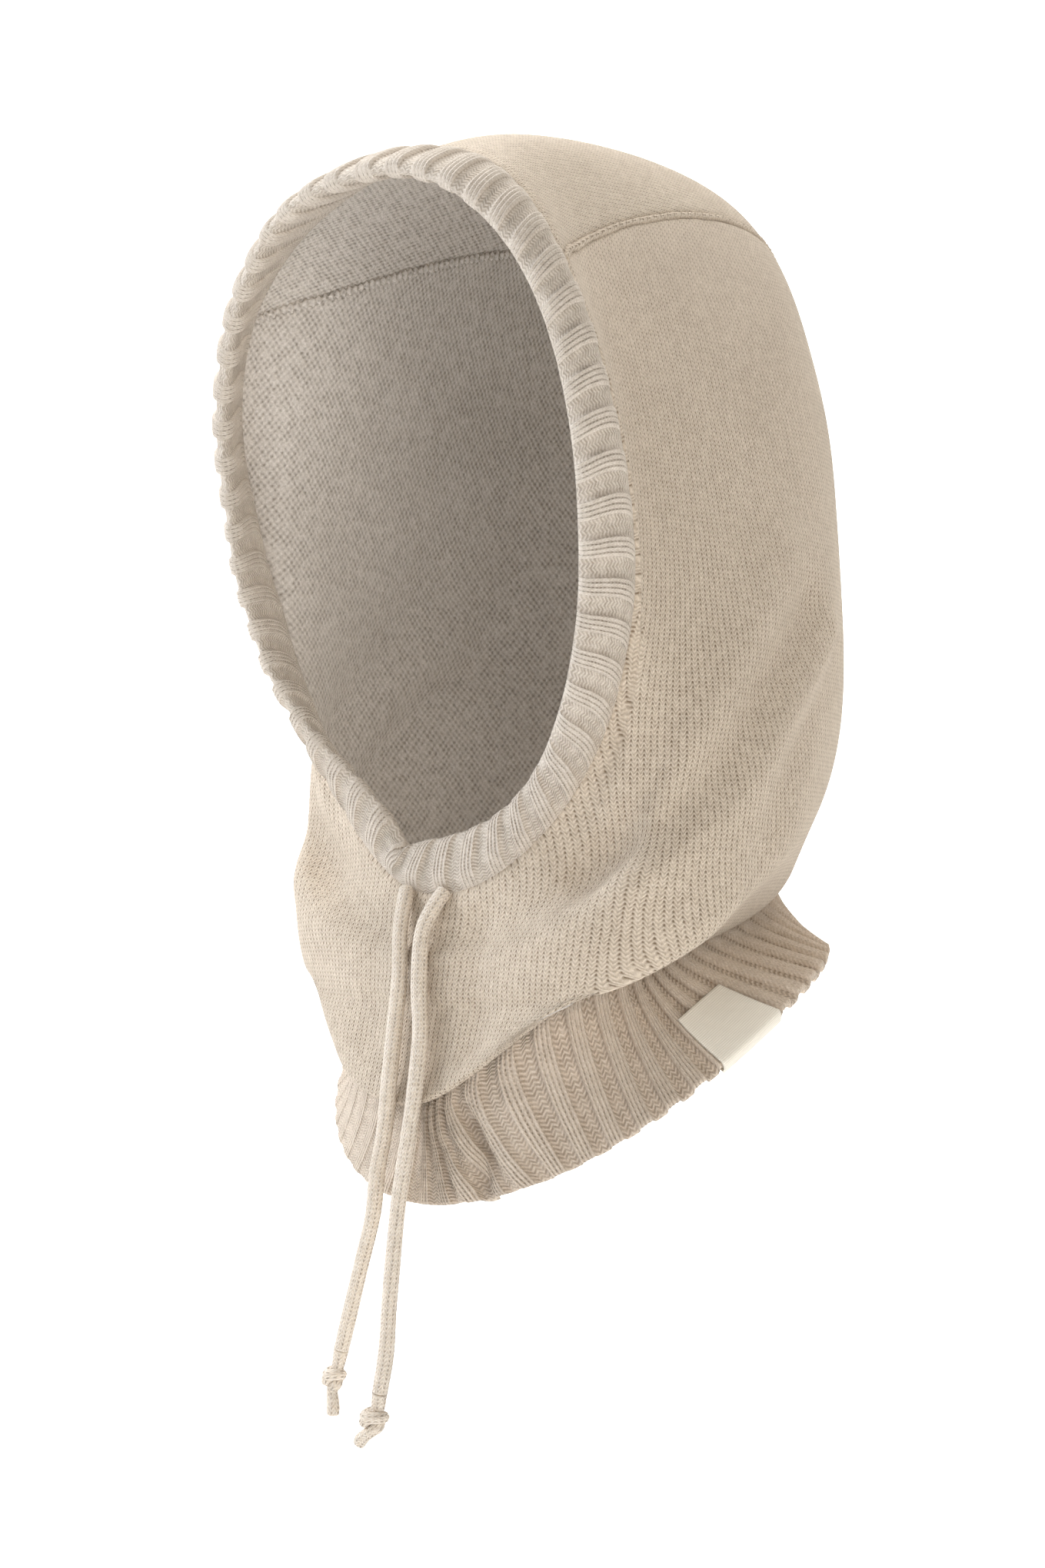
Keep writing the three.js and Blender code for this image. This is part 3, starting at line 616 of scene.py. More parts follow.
def lipInside(share, turn):
    edge = lip(np.ones_like(turn), turn)
    edge[..., 2] += shellPlan["bendWall"]
    start = offsetPoint(shell, np.full_like(turn, shellPlan["lipStart"]), turn,
                        np.full_like(turn, shellPlan["bendWall"]))
    blend = (shellPlan["insideStart"] + (1 - shellPlan["insideStart"]) * share)[..., None]
    return start * (1 - blend) + edge * blend


# Wales of the body run straight down and courses run level. Both are fitted to the whole shell at once,
# so that each step along the cloth counts close to its own length.
fieldPlan = {"rows": 91, "columns": 240, "rounds": 900, "crownShare": 0.002, "leastTrust": 0.02,
             "countFrom": 7}
fieldT = np.linspace(1, 10, fieldPlan["rows"])
fieldTurn = np.linspace(-np.pi, np.pi, fieldPlan["columns"] + 1)


def stitchField(plan):
    t, turn = np.meshgrid(fieldT, fieldTurn[:-1], indexing="ij")
    points = shell(t, turn)
    normal = normalOf(shell, t, turn)
    level = unit(np.cross([0.0, 0.0, 1.0], normal))
    up = np.cross(normal, level)
    onCrown = np.abs(turn) > np.pi - crownHalfAngle(t, shellPlan["crownTip"])
    trust = (1 - normal[..., 2] ** 2 + plan["leastTrust"]) * np.where(onCrown, plan["crownShare"], 1.0)
    beside = lambda field: np.roll(field, -1, axis=1)
    stepRound = beside(points) - points
    stepDown = points[1:] - points[:-1]
    lengthRound = np.linalg.norm(stepRound, axis=2)
    lengthDown = np.linalg.norm(stepDown, axis=2)
    reachDown = np.vstack([lengthDown[:1], (lengthDown[1:] + lengthDown[:-1]) / 2, lengthDown[-1:]])
    holdRound = reachDown / lengthRound * trust
    holdDown = (lengthRound[1:] + lengthRound[:-1]) / 2 / lengthDown * (trust[1:] + trust[:-1]) / 2
    pull = np.zeros_like(trust)
    pull += holdRound + np.roll(holdRound, 1, axis=1)
    pull[:-1] += holdDown
    pull[1:] += holdDown

    def gather(flowRound, flowDown):
        total = np.roll(flowRound, 1, axis=1) - flowRound
        total[:-1] -= flowDown
        total[1:] += flowDown
        return total

    def spread(field):
        return gather(holdRound * (beside(field) - field), holdDown * (field[1:] - field[:-1]))

    # Stitches counted along one direction of the cloth. A count that closes is a whole number once round.
    def fitted(direction, size, closes):
        wantRound = (stepRound * (direction + beside(direction)) / 2).sum(axis=2) / size
        wantDown = (stepDown * (direction[1:] + direction[:-1]) / 2).sum(axis=2) / size
        whole = round(float(wantRound[fieldT > plan["countFrom"]].sum(axis=1).mean())) if closes else 0
        wantRound[:, -1] -= whole
        target = gather(holdRound * wantRound, holdDown * wantDown)
        field = np.zeros_like(target)
        rest = target - spread(field)
        search = rest / pull
        strength = (rest * search).sum()
        for k in range(plan["rounds"]):
            moved = spread(search)
            step = strength / (search * moved).sum()
            field += step * search
            rest -= step * moved
            settled = rest / pull
            newStrength = (rest * settled).sum()
            search = settled + search * newStrength / strength
            strength = newStrength
        return np.hstack([field, field[:, :1] + whole]), whole

    wale, waleTotal = fitted(level, waleWidth, True)
    print(f"{waleTotal} wales round the body")
    return wale, fitted(up, courseHeight, False)[0]


fieldWale, fieldCourse = stitchField(fieldPlan)


def sampleField(field, t, turn):
    a = np.clip((t - fieldT[0]) / (fieldT[1] - fieldT[0]), 0, len(fieldT) - 1.001)
    b = np.clip((turn - fieldTurn[0]) / (fieldTurn[1] - fieldTurn[0]), 0, len(fieldTurn) - 1.001)
    i, j = a.astype(int), b.astype(int)
    a, b = a - i, b - j
    return ((field[i, j] * (1 - b) + field[i, j + 1] * b) * (1 - a)
            + (field[i + 1, j] * (1 - b) + field[i + 1, j + 1] * b) * a)


# The U-shaped seam round the crown panel, from the band on one side to the band on the other.
def crownSeamPlaces(plan):
    bow = np.linspace(0, np.pi / 2, 6000)
    t = 1 + (shellPlan["crownTip"] - 1) * np.sin(bow) ** 0.25
    half = sectionAt(t)["crownAngle"] * np.cos(bow)
    t = np.concatenate([t, t[::-1]])
    turn = np.concatenate([np.pi - half, np.pi + half[::-1]])
    line = shell(t, turn)
    lengths = lengthsAlong(line)
    places = np.linspace(plan["endGap"], lengths[-1] - plan["endGap"], int(lengths[-1] / plan["step"]))
    return np.interp(places, lengths, t), np.interp(places, lengths, turn)


seamPlan = {"step": 0.55, "endGap": 1.5, "halfHeight": 0.9, "groove": 0.85, "grooveReach": 1.7,
            "lowest": -140, "stray": 0.3, "straySize": 9.0, "beadLength": 2.4, "uneven": 0.12,
            "unevenSize": 7.0, "sides": 14, "wales": 3}
seamT, seamTurn = crownSeamPlaces(seamPlan)
seamLine = shell(seamT, seamTurn)


# How far the cloth is pulled down beside the seam.
def seamDip(grid):
    points = grid.reshape(-1, 3)
    dip = np.zeros(len(points))
    near = points[:, 2] > seamPlan["lowest"]
    chosen = points[near]
    best = np.full(len(chosen), np.inf)
    for start in range(0, len(seamLine), 80):
        part = seamLine[start:start + 80]
        best = np.minimum(best, np.linalg.norm(chosen[:, None] - part[None], axis=2).min(axis=1))
    dip[near] = seamPlan["groove"] * np.exp(-(best / seamPlan["grooveReach"]) ** 2)
    return dip.reshape(grid.shape[:2])


# Both faces of a panel, pulled in beside the seam, with their first rows tucked under the band.
def panelSkins(points, t, turn, depth, lump=0.0):
    normal = normalOf(shell, t, turn)
    dip = seamDip(points)
    outer = points - normal * (dip - lump)[..., None]
    inner = points - normal * (depth - dip * 0.6)[..., None]
    outer[0] = underBand(turn[0], shellPlan["edgeDepth"])
    inner[0] = underBand(turn[0], shellPlan["wall"])
    return outer, inner


# The body: a double grid, outer and inner face, open at the crown seam and whole below it.
bodyPlan = {"topSteps": 84, "topCrowding": 1.35, "lowSteps": 46, "lowEnd": 9.96, "lipSteps": 9,
            "columns": 232, "softenPasses": 80, "bendPasses": 3, "bendRows": 4, "lump": 0.35,
            "lumpSize": 70.0, "lumpFrom": 1.2, "lumpTo": 9.6, "lumpFade": 0.8, "lipCourses": 3}


# Evens out some rows of a grid of points, a little with each pass.
def soften(grid, start, end, passes):
    for k in range(passes):
        grid[start:end] = grid[start:end] * 0.5 + (grid[start - 1:end - 1] + grid[start + 1:end + 1]) * 0.25


def makeBody(plan):
    columns = plan["columns"]
    tip = shellPlan["crownTip"]
    top = 1 + (tip - 1) * (1 - (1 - np.arange(plan["topSteps"]) / plan["topSteps"]) ** plan["topCrowding"])
    low = np.linspace(tip, plan["lowEnd"], plan["lowSteps"])
    places = np.concatenate([top, low])
    besideCrown = np.pi - crownHalfAngle(places, tip) - shellPlan["seamAngleGap"]
    reach = np.where(places < tip - 1e-6, besideCrown, np.pi)
    turnShare = np.linspace(-1, 1, columns + 1)
    t, share = np.meshgrid(places, turnShare, indexing="ij")
    turn = share * reach[:, None]
    thinned = np.clip((t - shellPlan["bendStart"]) / shellPlan["bendFade"], 0, 1)
    fade = np.clip(t - plan["lumpFrom"], 0, 1) * np.clip((plan["lumpTo"] - t) / plan["lumpFade"], 0, 1)
    points = shell(t, turn)
    outer, inner = panelSkins(points, t, turn, mixed(shellPlan["wall"], shellPlan["bendWall"], 0, 1, thinned),
                              plan["lump"] * wander(points, plan["lumpSize"]) * fade)
    lipShares = np.linspace(0.03, 1, plan["lipSteps"])
    lipTurn = np.broadcast_to(turnShare * np.pi, (len(lipShares), columns + 1))
    lipShare = np.broadcast_to(lipShares[:, None], lipTurn.shape)
    outer = np.concatenate([outer, lip(lipShare, lipTurn)])
    inner = np.concatenate([inner, lipInside(lipShare, lipTurn)])
    wholeFrom = len(top)
    soften(inner, wholeFrom + 1, len(inner) - 1, plan["softenPasses"])
    soften(outer, len(places) - plan["bendRows"], len(places) + plan["bendRows"], plan["bendPasses"])
    allT = np.concatenate([t, np.full_like(lipTurn, 10.0)])
    allTurn = np.concatenate([turn, lipTurn])
    wale = sampleField(fieldWale, allT, allTurn)
    course = sampleField(fieldCourse, allT, allTurn)
    course[len(places):] -= lipShare * plan["lipCourses"]
    return joinSkins("stockinetteBody", outer, inner, wale, course, "body_panel",
                     bothSidesKnit, wholeFrom)


# Outer and inner grids become one closed piece. Rows from wholeFrom down meet themselves at the back.
def joinSkins(name, outer, inner, wale, course, node, materials, wholeFrom=None):
    rows, size = outer.shape[:2]
    total, last, end = rows * size, size - 1, (rows - 1) * size
    points = np.concatenate([outer.reshape(-1, 3), inner.reshape(-1, 3)])
    down = np.arange(rows - 1)[:wholeFrom] * size
    over = np.arange(last)
    rims = np.concatenate([
        np.stack([down, down + size, total + down + size, total + down], axis=1),
        np.stack([down + last, total + down + last, total + down + size + last, down + size + last], axis=1),
        np.stack([over, total + over, total + over + 1, over + 1], axis=1),
        np.stack([end + over, end + over + 1, total + end + over + 1, total + end + over], axis=1),
    ])
    outerFaces = gridFaces(rows, size)
    innerFaces = gridFaces(rows, size, first=total)[:, ::-1]
    faces = np.concatenate([outerFaces, innerFaces, rims])
    flat = np.stack([wale.ravel(), course.ravel()], axis=1)
    stitches = flat[faces % total]
    if wholeFrom is not None:
        seam = np.arange(wholeFrom, rows) * size
        rename = np.arange(2 * total)
        rename[seam + last] = seam
        rename[total + seam + last] = total + seam
        faces = rename[faces]
    faces, stitches = facedOut(points, faces, stitches)
    used, faces = np.unique(faces, return_inverse=True)
    finish = np.minimum(np.arange(len(stitches)) // len(outerFaces), len(materials) - 1)
    return makePiece(name, points[used], faces.reshape(-1, 4), materials, [node],
                     stitches.reshape(-1, 2), finish)


makeBody(bodyPlan)
print("body knitted")


# The crown panel: a tongue from the band to a rounded tip, its wales running front to back.
crownPlan = {"rows": 96, "columns": 56, "rowCrowding": 2.2, "tipGap": 0.03, "tipHalfAngle": 0.004,
             "lastGap": 0.004}


def makeCrown(plan):
    tip = shellPlan["crownTip"] - plan["tipGap"]
    places = 1 + (tip - 1) * (1 - (1 - np.linspace(0, 1, plan["rows"])) ** plan["rowCrowding"])
    places[-1] = tip - plan["lastGap"]
    half = crownHalfAngle(places, shellPlan["crownTip"]) - shellPlan["seamAngleGap"]
    half = np.maximum(half, plan["tipHalfAngle"])
    t, share = np.meshgrid(places, np.linspace(-1, 1, plan["columns"] + 1), indexing="ij")
    turn = np.pi + share * half[:, None]
    points = shell(t, turn)
    outer, inner = panelSkins(points, t, turn, shellPlan["wall"])
    middle = plan["columns"] // 2
    course = np.broadcast_to(lengthsAlong(points[:, middle])[:, None] / courseHeight, t.shape)
    across = np.array([lengthsAlong(row) for row in points])
    wale = (across - across[:, middle:middle + 1]) / waleWidth
    return joinSkins("stockinetteCrown", outer, inner, wale, course, "crown_panel",
                     bothSidesKnit)


makeCrown(crownPlan)
print("crown knitted")


# The crown seam: a raised cord of cloth outside, and the turned-in edge inside.
def makeSeam(name, depth, halfWidth, bead, material):
    normal = normalOf(shell, seamT, seamTurn)
    line = seamLine - normal * depth
    along = unit(np.gradient(line, axis=0))
    side = np.cross(along, normal)
    line = line + side * (seamPlan["stray"] * wander(line, seamPlan["straySize"]))[:, None]
    angles = roundAngles(seamPlan["sides"])[:, None]
    lengths = np.arange(len(line)) * seamPlan["step"]
    swell = 1 + bead * np.sin(lengths * 2 * np.pi / seamPlan["beadLength"])
    swell = (swell + seamPlan["uneven"] * wander(line, seamPlan["unevenSize"]))[:, None, None]
    rings = line[:, None] + swell * (np.cos(angles) * halfWidth * side[:, None]
                                     + np.sin(angles) * seamPlan["halfHeight"] * normal[:, None])
    points, faces, stitches = closedTube(rings, seamPlan["wales"], lengths / courseHeight)
    return makePiece(name, points, faces, [wool[material]], (), stitches)


for row in ({"name": "crownSeamOutside", "depth": 0.45, "halfWidth": 1.25, "bead": 0.2,
             "material": "merinoWoolKnitSide"},
            {"name": "crownSeamInside", "depth": 2.5, "halfWidth": 1.5, "bead": 0.4,
             "material": "merinoWoolPurlSide"}):
    makeSeam(**row)
print("crown seams sewn")


# One rib is a raised part of four knit wales and a narrower sunk part, counted as four wales more.
ribPlan = {"raisedShare": 0.52, "raisedSteps": 24, "sunkSteps": 10, "edge": 0.05, "arch": 0.35}
ribShares = np.concatenate([np.linspace(0, ribPlan["raisedShare"], ribPlan["raisedSteps"], endpoint=False),
                            np.linspace(ribPlan["raisedShare"], 1, ribPlan["sunkSteps"], endpoint=False)])


def ribWale(phase):
    rib = np.floor(phase)
    return walesInRib * (rib + np.interp(phase - rib, [0, ribPlan["raisedShare"], 1], [0, 0.5, 1]))


# Ribs share a loop out by its length.
def ribTurns(loop, ribs):
    fine = np.linspace(0, 2 * np.pi, 2881)
    line = loop(fine)
    lengths = lengthsAlong(line)
    phase = (np.arange(ribs)[:, None] + ribShares[None]).ravel()
    return np.interp(phase / ribs * lengths[-1], lengths, fine), phase


# The hem is stretched smooth in front, on the wearer's right.
smoothHem = {"from": -1.5, "fromFade": 0.4, "to": 0.16, "toFade": 0.2, "flattened": 0.8}


def nearFront(turn):
    return np.mod(turn + np.pi, 2 * np.pi) - np.pi


def eased(share):
    return share * share * (3 - 2 * share)


def ribStrength(turn):
    aside = nearFront(turn)
    flat = (np.clip((smoothHem["to"] - aside) / smoothHem["toFade"], 0, 1)
            * np.clip((aside - smoothHem["from"]) / smoothHem["fromFade"], 0, 1))
    return 1 - smoothHem["flattened"] * eased(flat)


# Ribbed rings of points become one closed piece. Both courseTurn and the ribs count on past the join.
def joinRings(name, rings, phase, ribs, course, courseTurn, node, material):
    points = np.array(rings)
    shape = points.shape[:2]
    faces = gridFaces(*shape, closeRows=True, closeColumns=True)
    stitches = gridStitches(np.broadcast_to(ribWale(phase), shape), np.broadcast_to(course[:, None], shape),
                            True, True, ribs * walesInRib, courseTurn)
    points = points.reshape(-1, 3)
    faces, stitches = facedOut(points, faces, stitches)
    return makePiece(name, points, faces, [wool[material]], [node], stitches.reshape(-1, 2))


# How far the cloth stands out across one rib: four plump knit wales, then the sunk part.
def ribProfile(phase, height, waleRelief):
    share = np.mod(phase, 1.0)
    edge, top = ribPlan["edge"], ribPlan["raisedShare"]
    raised = (np.clip((share + edge) / (2 * edge), 0, 1) * np.clip((top + edge - share) / (2 * edge), 0, 1)
              + np.clip((share - 1 + edge) / (2 * edge), 0, 1))
    raised = eased(raised)
    walesUp = np.abs(np.sin(ribWale(share) * np.pi)) ** 0.6
    arch = ribPlan["arch"] * np.sin(np.pi * np.clip(share / top, 0, 1))
    return height * (2 * raised - 1 + arch) - waleRelief * (1 - walesUp) * raised


# The band's cross-section: place from the fold (0) to the seam (1), height off the shell, share of the ribs.
bandSection = np.array([[-0.06, -1.2, 0.6], [0.12, 2.2, 1], [0.62, 2.8, 1], [0.985, -0.8, 0],
                        [0.985, -3.8, 0], [0.5, -5.0, -0.8], [0.05, -4.2, -0.8]])
bandPlan = {"ribs": 51, "rings": 46, "ribHeight": 0.75, "waleRelief": 0.4, "width": 27.0, "lean": 0.004,
            "leanPerRib": 0.9, "leanAcross": 3, "lump": 0.5, "lumpSize": 45.0}


# A smooth closed line through the band's section, at even steps.
def closedSmooth(rows, count, scale):
    n = len(rows)
    fine = []
    for i in range(n):
        p0, p1, p2, p3 = (rows[(i + k) % n] for k in (-1, 0, 1, 2))
        f = np.linspace(0, 1, 40, endpoint=False)[:, None]
        fine.append(0.5 * (2 * p1 + (p2 - p0) * f + (2 * p0 - 5 * p1 + 4 * p2 - p3) * f ** 2
                           + (3 * p1 - p0 - 3 * p2 + p3) * f ** 3))
    fine = np.vstack(fine + [fine[0][:1]])
    lengths = lengthsAlong(fine[:, :2] * scale)
    places = np.linspace(0, lengths[-1], count, endpoint=False)
    return np.stack([np.interp(places, lengths, fine[:, k]) for k in range(3)], axis=1), lengths[-1]


def makeBand(plan):
    turn, phase = ribTurns(lambda turns: plainShell(np.full_like(turns, 0.5), turns), plan["ribs"])
    section, girth = closedSmooth(bandSection, plan["rings"], np.array([plan["width"], 1.0]))
    rings = []
    for along, height, rib in section:
        held = np.full_like(turn, max(along, 0.0))
        leaning = np.sin(phase * plan["leanPerRib"] + along * plan["leanAcross"]) * (1 - along)
        at = turn + plan["lean"] * leaning
        points = plainShell(held, at)
        normal = normalOf(plainShell, held, at)
        if along < 0:
            back = unit(plainShell(np.full_like(turn, 0.1), at) - points)
            points = points + back * along * plan["width"]
        relief = ribProfile(phase, plan["ribHeight"], plan["waleRelief"]) * rib
        lump = plan["lump"] * wander(points, plan["lumpSize"])
        rings.append(points + normal * (height + relief + lump)[:, None])
    courses = girth / courseHeight
    course = np.arange(plan["rings"]) * courses / plan["rings"]
    return joinRings("faceBandRib", rings, phase, plan["ribs"], course, courses, "face_band",
                     "merinoWoolBandRib")


makeBand(bandPlan)
print("face band knitted")


neckPlan = {"ribs": 54, "ribHeight": 1.25, "waleRelief": 0.6, "wall": 2.4, "tuck": 13.0, "tuckShare": 0.3,
            "tuckLean": 2, "start": 4.0, "clearance": 3.2, "flare": (1.3, 1.3, 0.9), "outerRows": 36,
            "edgeRows": 5, "edgeRound": 0.9, "innerRows": 10, "length": 46.0, "leastStep": 0.3,
            "closingCourses": 2.0, "foldFade": 0.2}
ribLean = {"cheeks": 0.31, "cheekTurn": 1.0, "cheekReach": 0.45, "front": 0.17, "frontTurn": 0.42,
           "frontReach": 0.24}


# The ribs leave the tuck further back than they reach the hem, most of all below the cheeks.
# In front, on the wearer's left, they are drawn the other way, towards the cords.
def leanTurn(turn):
    beside = (np.abs(turn) - ribLean["cheekTurn"]) / ribLean["cheekReach"]
    inFront = (turn - ribLean["frontTurn"]) / ribLean["frontReach"]
    cheeks = ribLean["cheeks"] * np.sign(turn) * np.exp(-beside ** 2)
    return turn + cheeks - ribLean["front"] * np.exp(-inFront ** 2)


# The neck rib bunches under the chin: a crease with a soft fold on either side. Rows as in folds.
neckFolds = [
    [-3.6, 4.5, 0, [[9, -85, -340], [19, -85, -347], [26, -86, -359], [29, -84, -372]]],
    [2.4, 5.5, 0, [[-2, -86, -346], [9, -87, -351], [17, -88, -361], [20, -86, -375]]],
    [2.2, 7.0, 0, [[24, -86, -338], [34, -84, -347], [40, -83, -358], [42, -81, -370]]],
]


def neck(share, turn):
    top = leanTurn(nearFront(turn))
    out = levelOut(top)
    inset = lipWidth(top) + neckPlan["ribHeight"] + neckPlan["clearance"]
    atLip = shellEnd(top) - out * inset[..., None]
    atLip[..., 2] -= neckPlan["start"]
    tucked = neckPlan["tuckShare"]
    up = np.maximum((tucked - share) / tucked, 0)[..., None]
    high = atLip - out * neckPlan["tuckLean"] * up + np.array([0.0, 0.0, neckPlan["tuck"]]) * up
    down = np.maximum((share - tucked) / (1 - tucked), 0)[..., None]
    low = atLip + (loopPoint(hem, turn) - atLip) * down ** np.array(neckPlan["flare"])
    points = np.where(share[..., None] < tucked, high, low)
    fade = np.clip((share - tucked) / neckPlan["foldFade"], 0, 1)
    return points + out * (foldHeight(points, neckFolds) * fade)[..., None]


# The way down along the rib at its hem.
def hemDown(turn):
    end = np.ones_like(turn)
    return unit(neck(end, turn) - neck(end - 0.05, turn))


# Rows down the outside, round the hem and up the inside. Each row: place, height off the wall, rib share.
def neckRows(plan):
    rows = [(share, 0.0, 1.0) for share in np.linspace(0, 1, plan["outerRows"])]
    for k in range(1, plan["edgeRows"] + 1):
        angle = np.pi * k / (plan["edgeRows"] + 1)
        rows.append((1.0, -plan["wall"] / 2 * (1 - math.cos(angle)), 1.0))
    rows += [(share, -plan["wall"], 1.0) for share in np.linspace(1, 0, plan["innerRows"])]
    return rows


def makeNeck(plan):
    turn, phase = ribTurns(lambda turns: loopPoint(hem, turns), plan["ribs"])
    rows = neckRows(plan)
    relief = ribProfile(phase, plan["ribHeight"], plan["waleRelief"]) * ribStrength(turn)
    rings = []
    for k, (share, height, rib) in enumerate(rows):
        held = np.full_like(turn, share)
        points = neck(held, turn)
        edge = k - plan["outerRows"] + 1
        if 0 < edge <= plan["edgeRows"]:
            sag = plan["edgeRound"] * math.sin(np.pi * edge / (plan["edgeRows"] + 1))
            points = points + sag * hemDown(turn)
        rings.append(points + normalOf(neck, held, turn) * (height + relief * rib)[:, None])
    places = np.array([row[0] for row in rows])
    steps = np.abs(np.diff(places)) * plan["length"] + plan["leastStep"]
    course = np.concatenate([[0], np.cumsum(steps)]) / courseHeight
    return joinRings("neckRib", rings, phase, plan["ribs"], course, plan["closingCourses"],
                     "neck_rib", "merinoWoolNeckRib")


makeNeck(neckPlan)
print("neck rib knitted")


# Cotton tape, woven on a narrow loom: pale, smooth and slightly glossy, with fine level ribs from its weft.
def wovenTape(name, look):
    material, tree = newMaterial(name)
    place = addNode(tree, "UVMap", {"uv_map": "stitches"})
    split = addNode(tree, "SeparateXYZ", None, {0: place})
    weft = sumOf(tree, [split.outputs[1], ("MULTIPLY", 2 * math.pi / look["weft"]), ("SINE",),
                        ("MULTIPLY_ADD", 0.5, 0.5)])
    warp = sumOf(tree, [split.outputs[0], ("MULTIPLY", 2 * math.pi / look["warp"]), ("SINE",),
                        ("MULTIPLY_ADD", 0.2, 0.2)])
    height = sumOf(tree, [weft, ("ADD", warp)])
    bump = addNode(tree, "Bump", None, {"Height": height, "Strength": 0.6, "Distance": look["depth"] * metre})
    tint = mixColours(tree, weft, colour(look["dark"]), colour(look["pale"]))
    shader = addNode(tree, "BsdfPrincipled", None,
                     {"Base Color": tint, "Roughness": 0.7, "Specular IOR Level": 0.3, "Sheen Weight": 0.15,
                      "Normal": bump})
    addNode(tree, "OutputMaterial", None, {"Surface": shader})
    return material


tapeLook = {"pale": "#f7f1e4", "dark": "#e6decd", "weft": 0.8, "warp": 0.5, "depth": 0.12}
# The label lies flat outside, goes round the hem and turns up inside. Rows are how many lie in each part.
labelPlan = {"width": 30.0, "height": 22.0, "thickness": 0.7, "turnIn": 6.0, "middleTurn": 1.44,
             "neckLength": 48.0, "outside": 1.5, "inside": 3.9, "edgeDrop": 0.35, "foldDrop": 0.9,
             "cornerShare": 0.6, "columns": 44, "rows": {"outside": 26, "fold": 5, "inside": 10}}


def makeLabel(plan):
    rows = plan["rows"]
    foldShares = np.linspace(0, 1, rows["fold"] + 2)[1:-1]
    corner = [plan["edgeDrop"] * plan["cornerShare"]]
    up = np.concatenate([np.linspace(plan["height"], 0, rows["outside"]), np.zeros(rows["fold"]),
                         np.linspace(0, plan["turnIn"], rows["inside"])])
    height = np.concatenate([np.full(rows["outside"], plan["outside"]),
                             mixed(plan["outside"], -plan["inside"], 0, 1, foldShares),
                             np.full(rows["inside"], -plan["inside"])])
    sag = np.concatenate([np.zeros(rows["outside"] - 1), corner,
                          plan["edgeDrop"] + plan["foldDrop"] * np.sin(np.pi * foldShares), corner,
                          np.zeros(rows["inside"] - 1)])
    near = [loopPoint(hem, np.array(plan["middleTurn"] + aside)) for aside in (-0.05, 0.05)]
    turnWidth = 0.1 / np.linalg.norm(near[1] - near[0])
    across = np.linspace(-0.5, 0.5, plan["columns"] + 1) * plan["width"]
    turn = plan["middleTurn"] + across * turnWidth
    end = np.ones_like(turn)
    down = hemDown(turn)
    layers = []
    for extra in (plan["thickness"], 0.0):
        layer = []
        for rowUp, rowHeight, rowSag in zip(up, height, sag):
            share = end - rowUp * (1 - neckPlan["tuckShare"]) / plan["neckLength"]
            lift = rowHeight + (extra if rowHeight > -1 else -extra)
            hang = rowSag + (extra if rowSag > 0 else 0)
            layer.append(neck(share, turn) + normalOf(neck, share, turn) * lift + down * hang)
        layers.append(np.array(layer))
    outer, inner = layers
    travel = lengthsAlong(outer[:, plan["columns"] // 2])
    shape = outer.shape[:2]
    return joinSkins("wovenHemLabel", outer, inner, np.broadcast_to(across, shape),
                     np.broadcast_to(travel[:, None], shape), "woven_label",
                     [wovenTape("cottonTapeWoven", tapeLook)])


makeLabel(labelPlan)
print("label sewn on")


# A plain pale floor that curves up behind, a white room and large soft lamps.
stagePlan = {"floor": -0.52, "back": 2.6, "front": -2.4, "halfWidth": 3.2, "wallTop": 3.0, "bend": 0.9,
             "colour": "#fbfbfa", "room": "#ffffff", "roomLight": 0.1}
lampColumns = ["name", "place", "aim", "size", "power", "tint"]
lampRows = [
    ["keyLamp", (-1.7, -1.0, 1.1), (0.0, 0.0, -0.235), 1.2, 58.0, "#f0f6ff"],
    ["frontLamp", (0.5, -1.8, 1.2), (0.0, 0.0, -0.235), 1.2, 5.0, "#f6faff"],
    ["sideLamp", (2.1, -1.0, 0.25), (0.0, 0.0, -0.235), 1.3, 22.0, "#fff9f1"],
    ["backdropLamp", (-0.7, 0.7, 1.7), (-1.7, 1.7, -0.4), 2.0, 110.0, "#ffffff"],
]


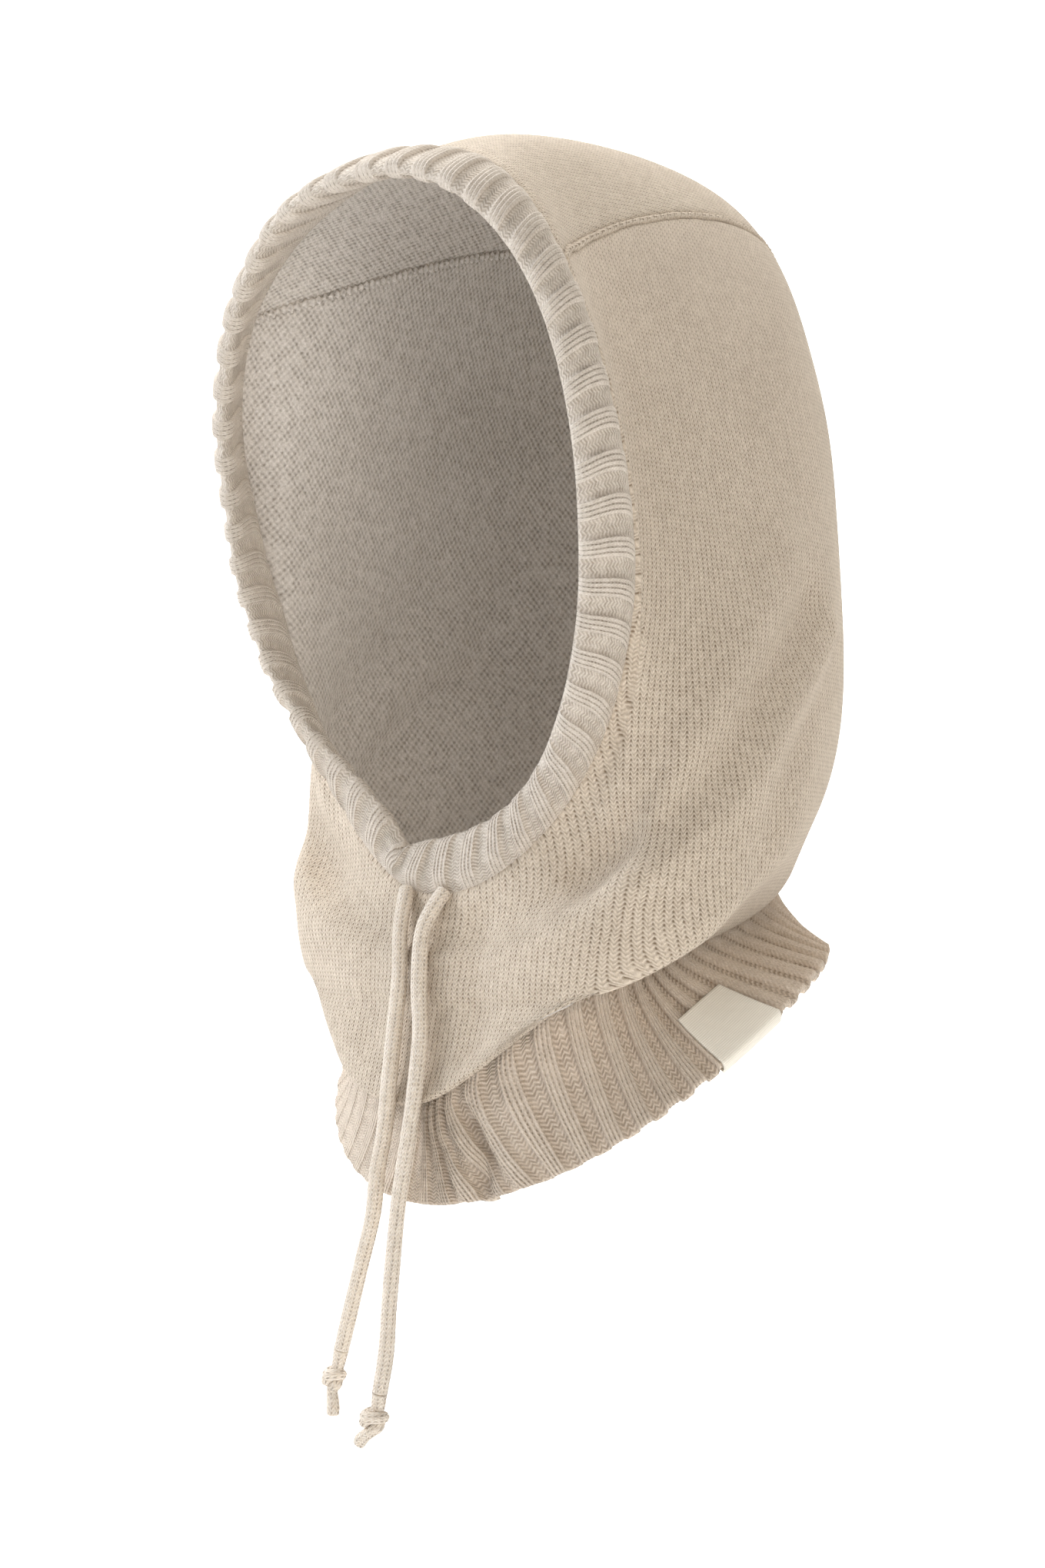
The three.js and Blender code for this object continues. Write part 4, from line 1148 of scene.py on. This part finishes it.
# Seamless backdrop paper, coated matt, so it gives an even white with no gloss.
def paintedPaper():
    material, tree = newMaterial("backdropPaperMatt")
    grain = addNode(tree, "TexNoise", None, {"Scale": 900.0, "Detail": 2.0})
    tint = mixColours(tree, grain, colour(stagePlan["colour"]), colour("#ffffff"))
    shader = addNode(tree, "BsdfPrincipled", None, {"Base Color": tint, "Roughness": 1.0})
    addNode(tree, "OutputMaterial", None, {"Surface": shader})
    return material


def buildStage(plan):
    angles = np.linspace(0, np.pi / 2, 24)
    profile = [(plan["front"], 0.0)]
    profile += [(plan["back"] - plan["bend"] + math.sin(a) * plan["bend"], plan["bend"] * (1 - math.cos(a)))
                for a in angles]
    profile.append((plan["back"], plan["wallTop"]))
    azimuth = math.radians(cameraPlan["azimuth"])
    ahead = Vector((-math.sin(azimuth), math.cos(azimuth), 0))
    aside = Vector((ahead.y, -ahead.x, 0))
    points, faces = [], []
    for k, (distance, height) in enumerate(profile):
        for side in (-1, 1):
            spot = ahead * distance + aside * side * plan["halfWidth"]
            points.append((spot.x, spot.y, plan["floor"] + height))
        if k:
            faces.append([2 * k - 2, 2 * k - 1, 2 * k + 1, 2 * k])
    mesh = bpy.data.meshes.new("paleFloor")
    mesh.from_pydata(points, [], faces)
    mesh.polygons.foreach_set("use_smooth", [True] * len(mesh.polygons))
    mesh.materials.append(paintedPaper())
    floor = addObject("paleFloor", mesh)


def lightScene():
    world = bpy.data.worlds.new("softRoom")
    world.use_nodes = True
    background = world.node_tree.nodes["Background"]
    background.inputs["Color"].default_value = colour(stagePlan["room"])
    background.inputs["Strength"].default_value = stagePlan["roomLight"]
    bpy.context.scene.world = world
    for plan in (dict(zip(lampColumns, row)) for row in lampRows):
        lamp = bpy.data.lights.new(plan["name"], "AREA")
        lamp.energy = plan["power"]
        lamp.size = plan["size"]
        lamp.color = colour(plan["tint"])[:3]
        lampObject = addObject(plan["name"], lamp)
        lampObject.location = plan["place"]
        lookAlong(lampObject, Vector(plan["aim"]) - Vector(plan["place"]))
    bpy.context.scene.view_settings.view_transform = "Standard"


buildStage(stagePlan)
lightScene()
print("stage lit")
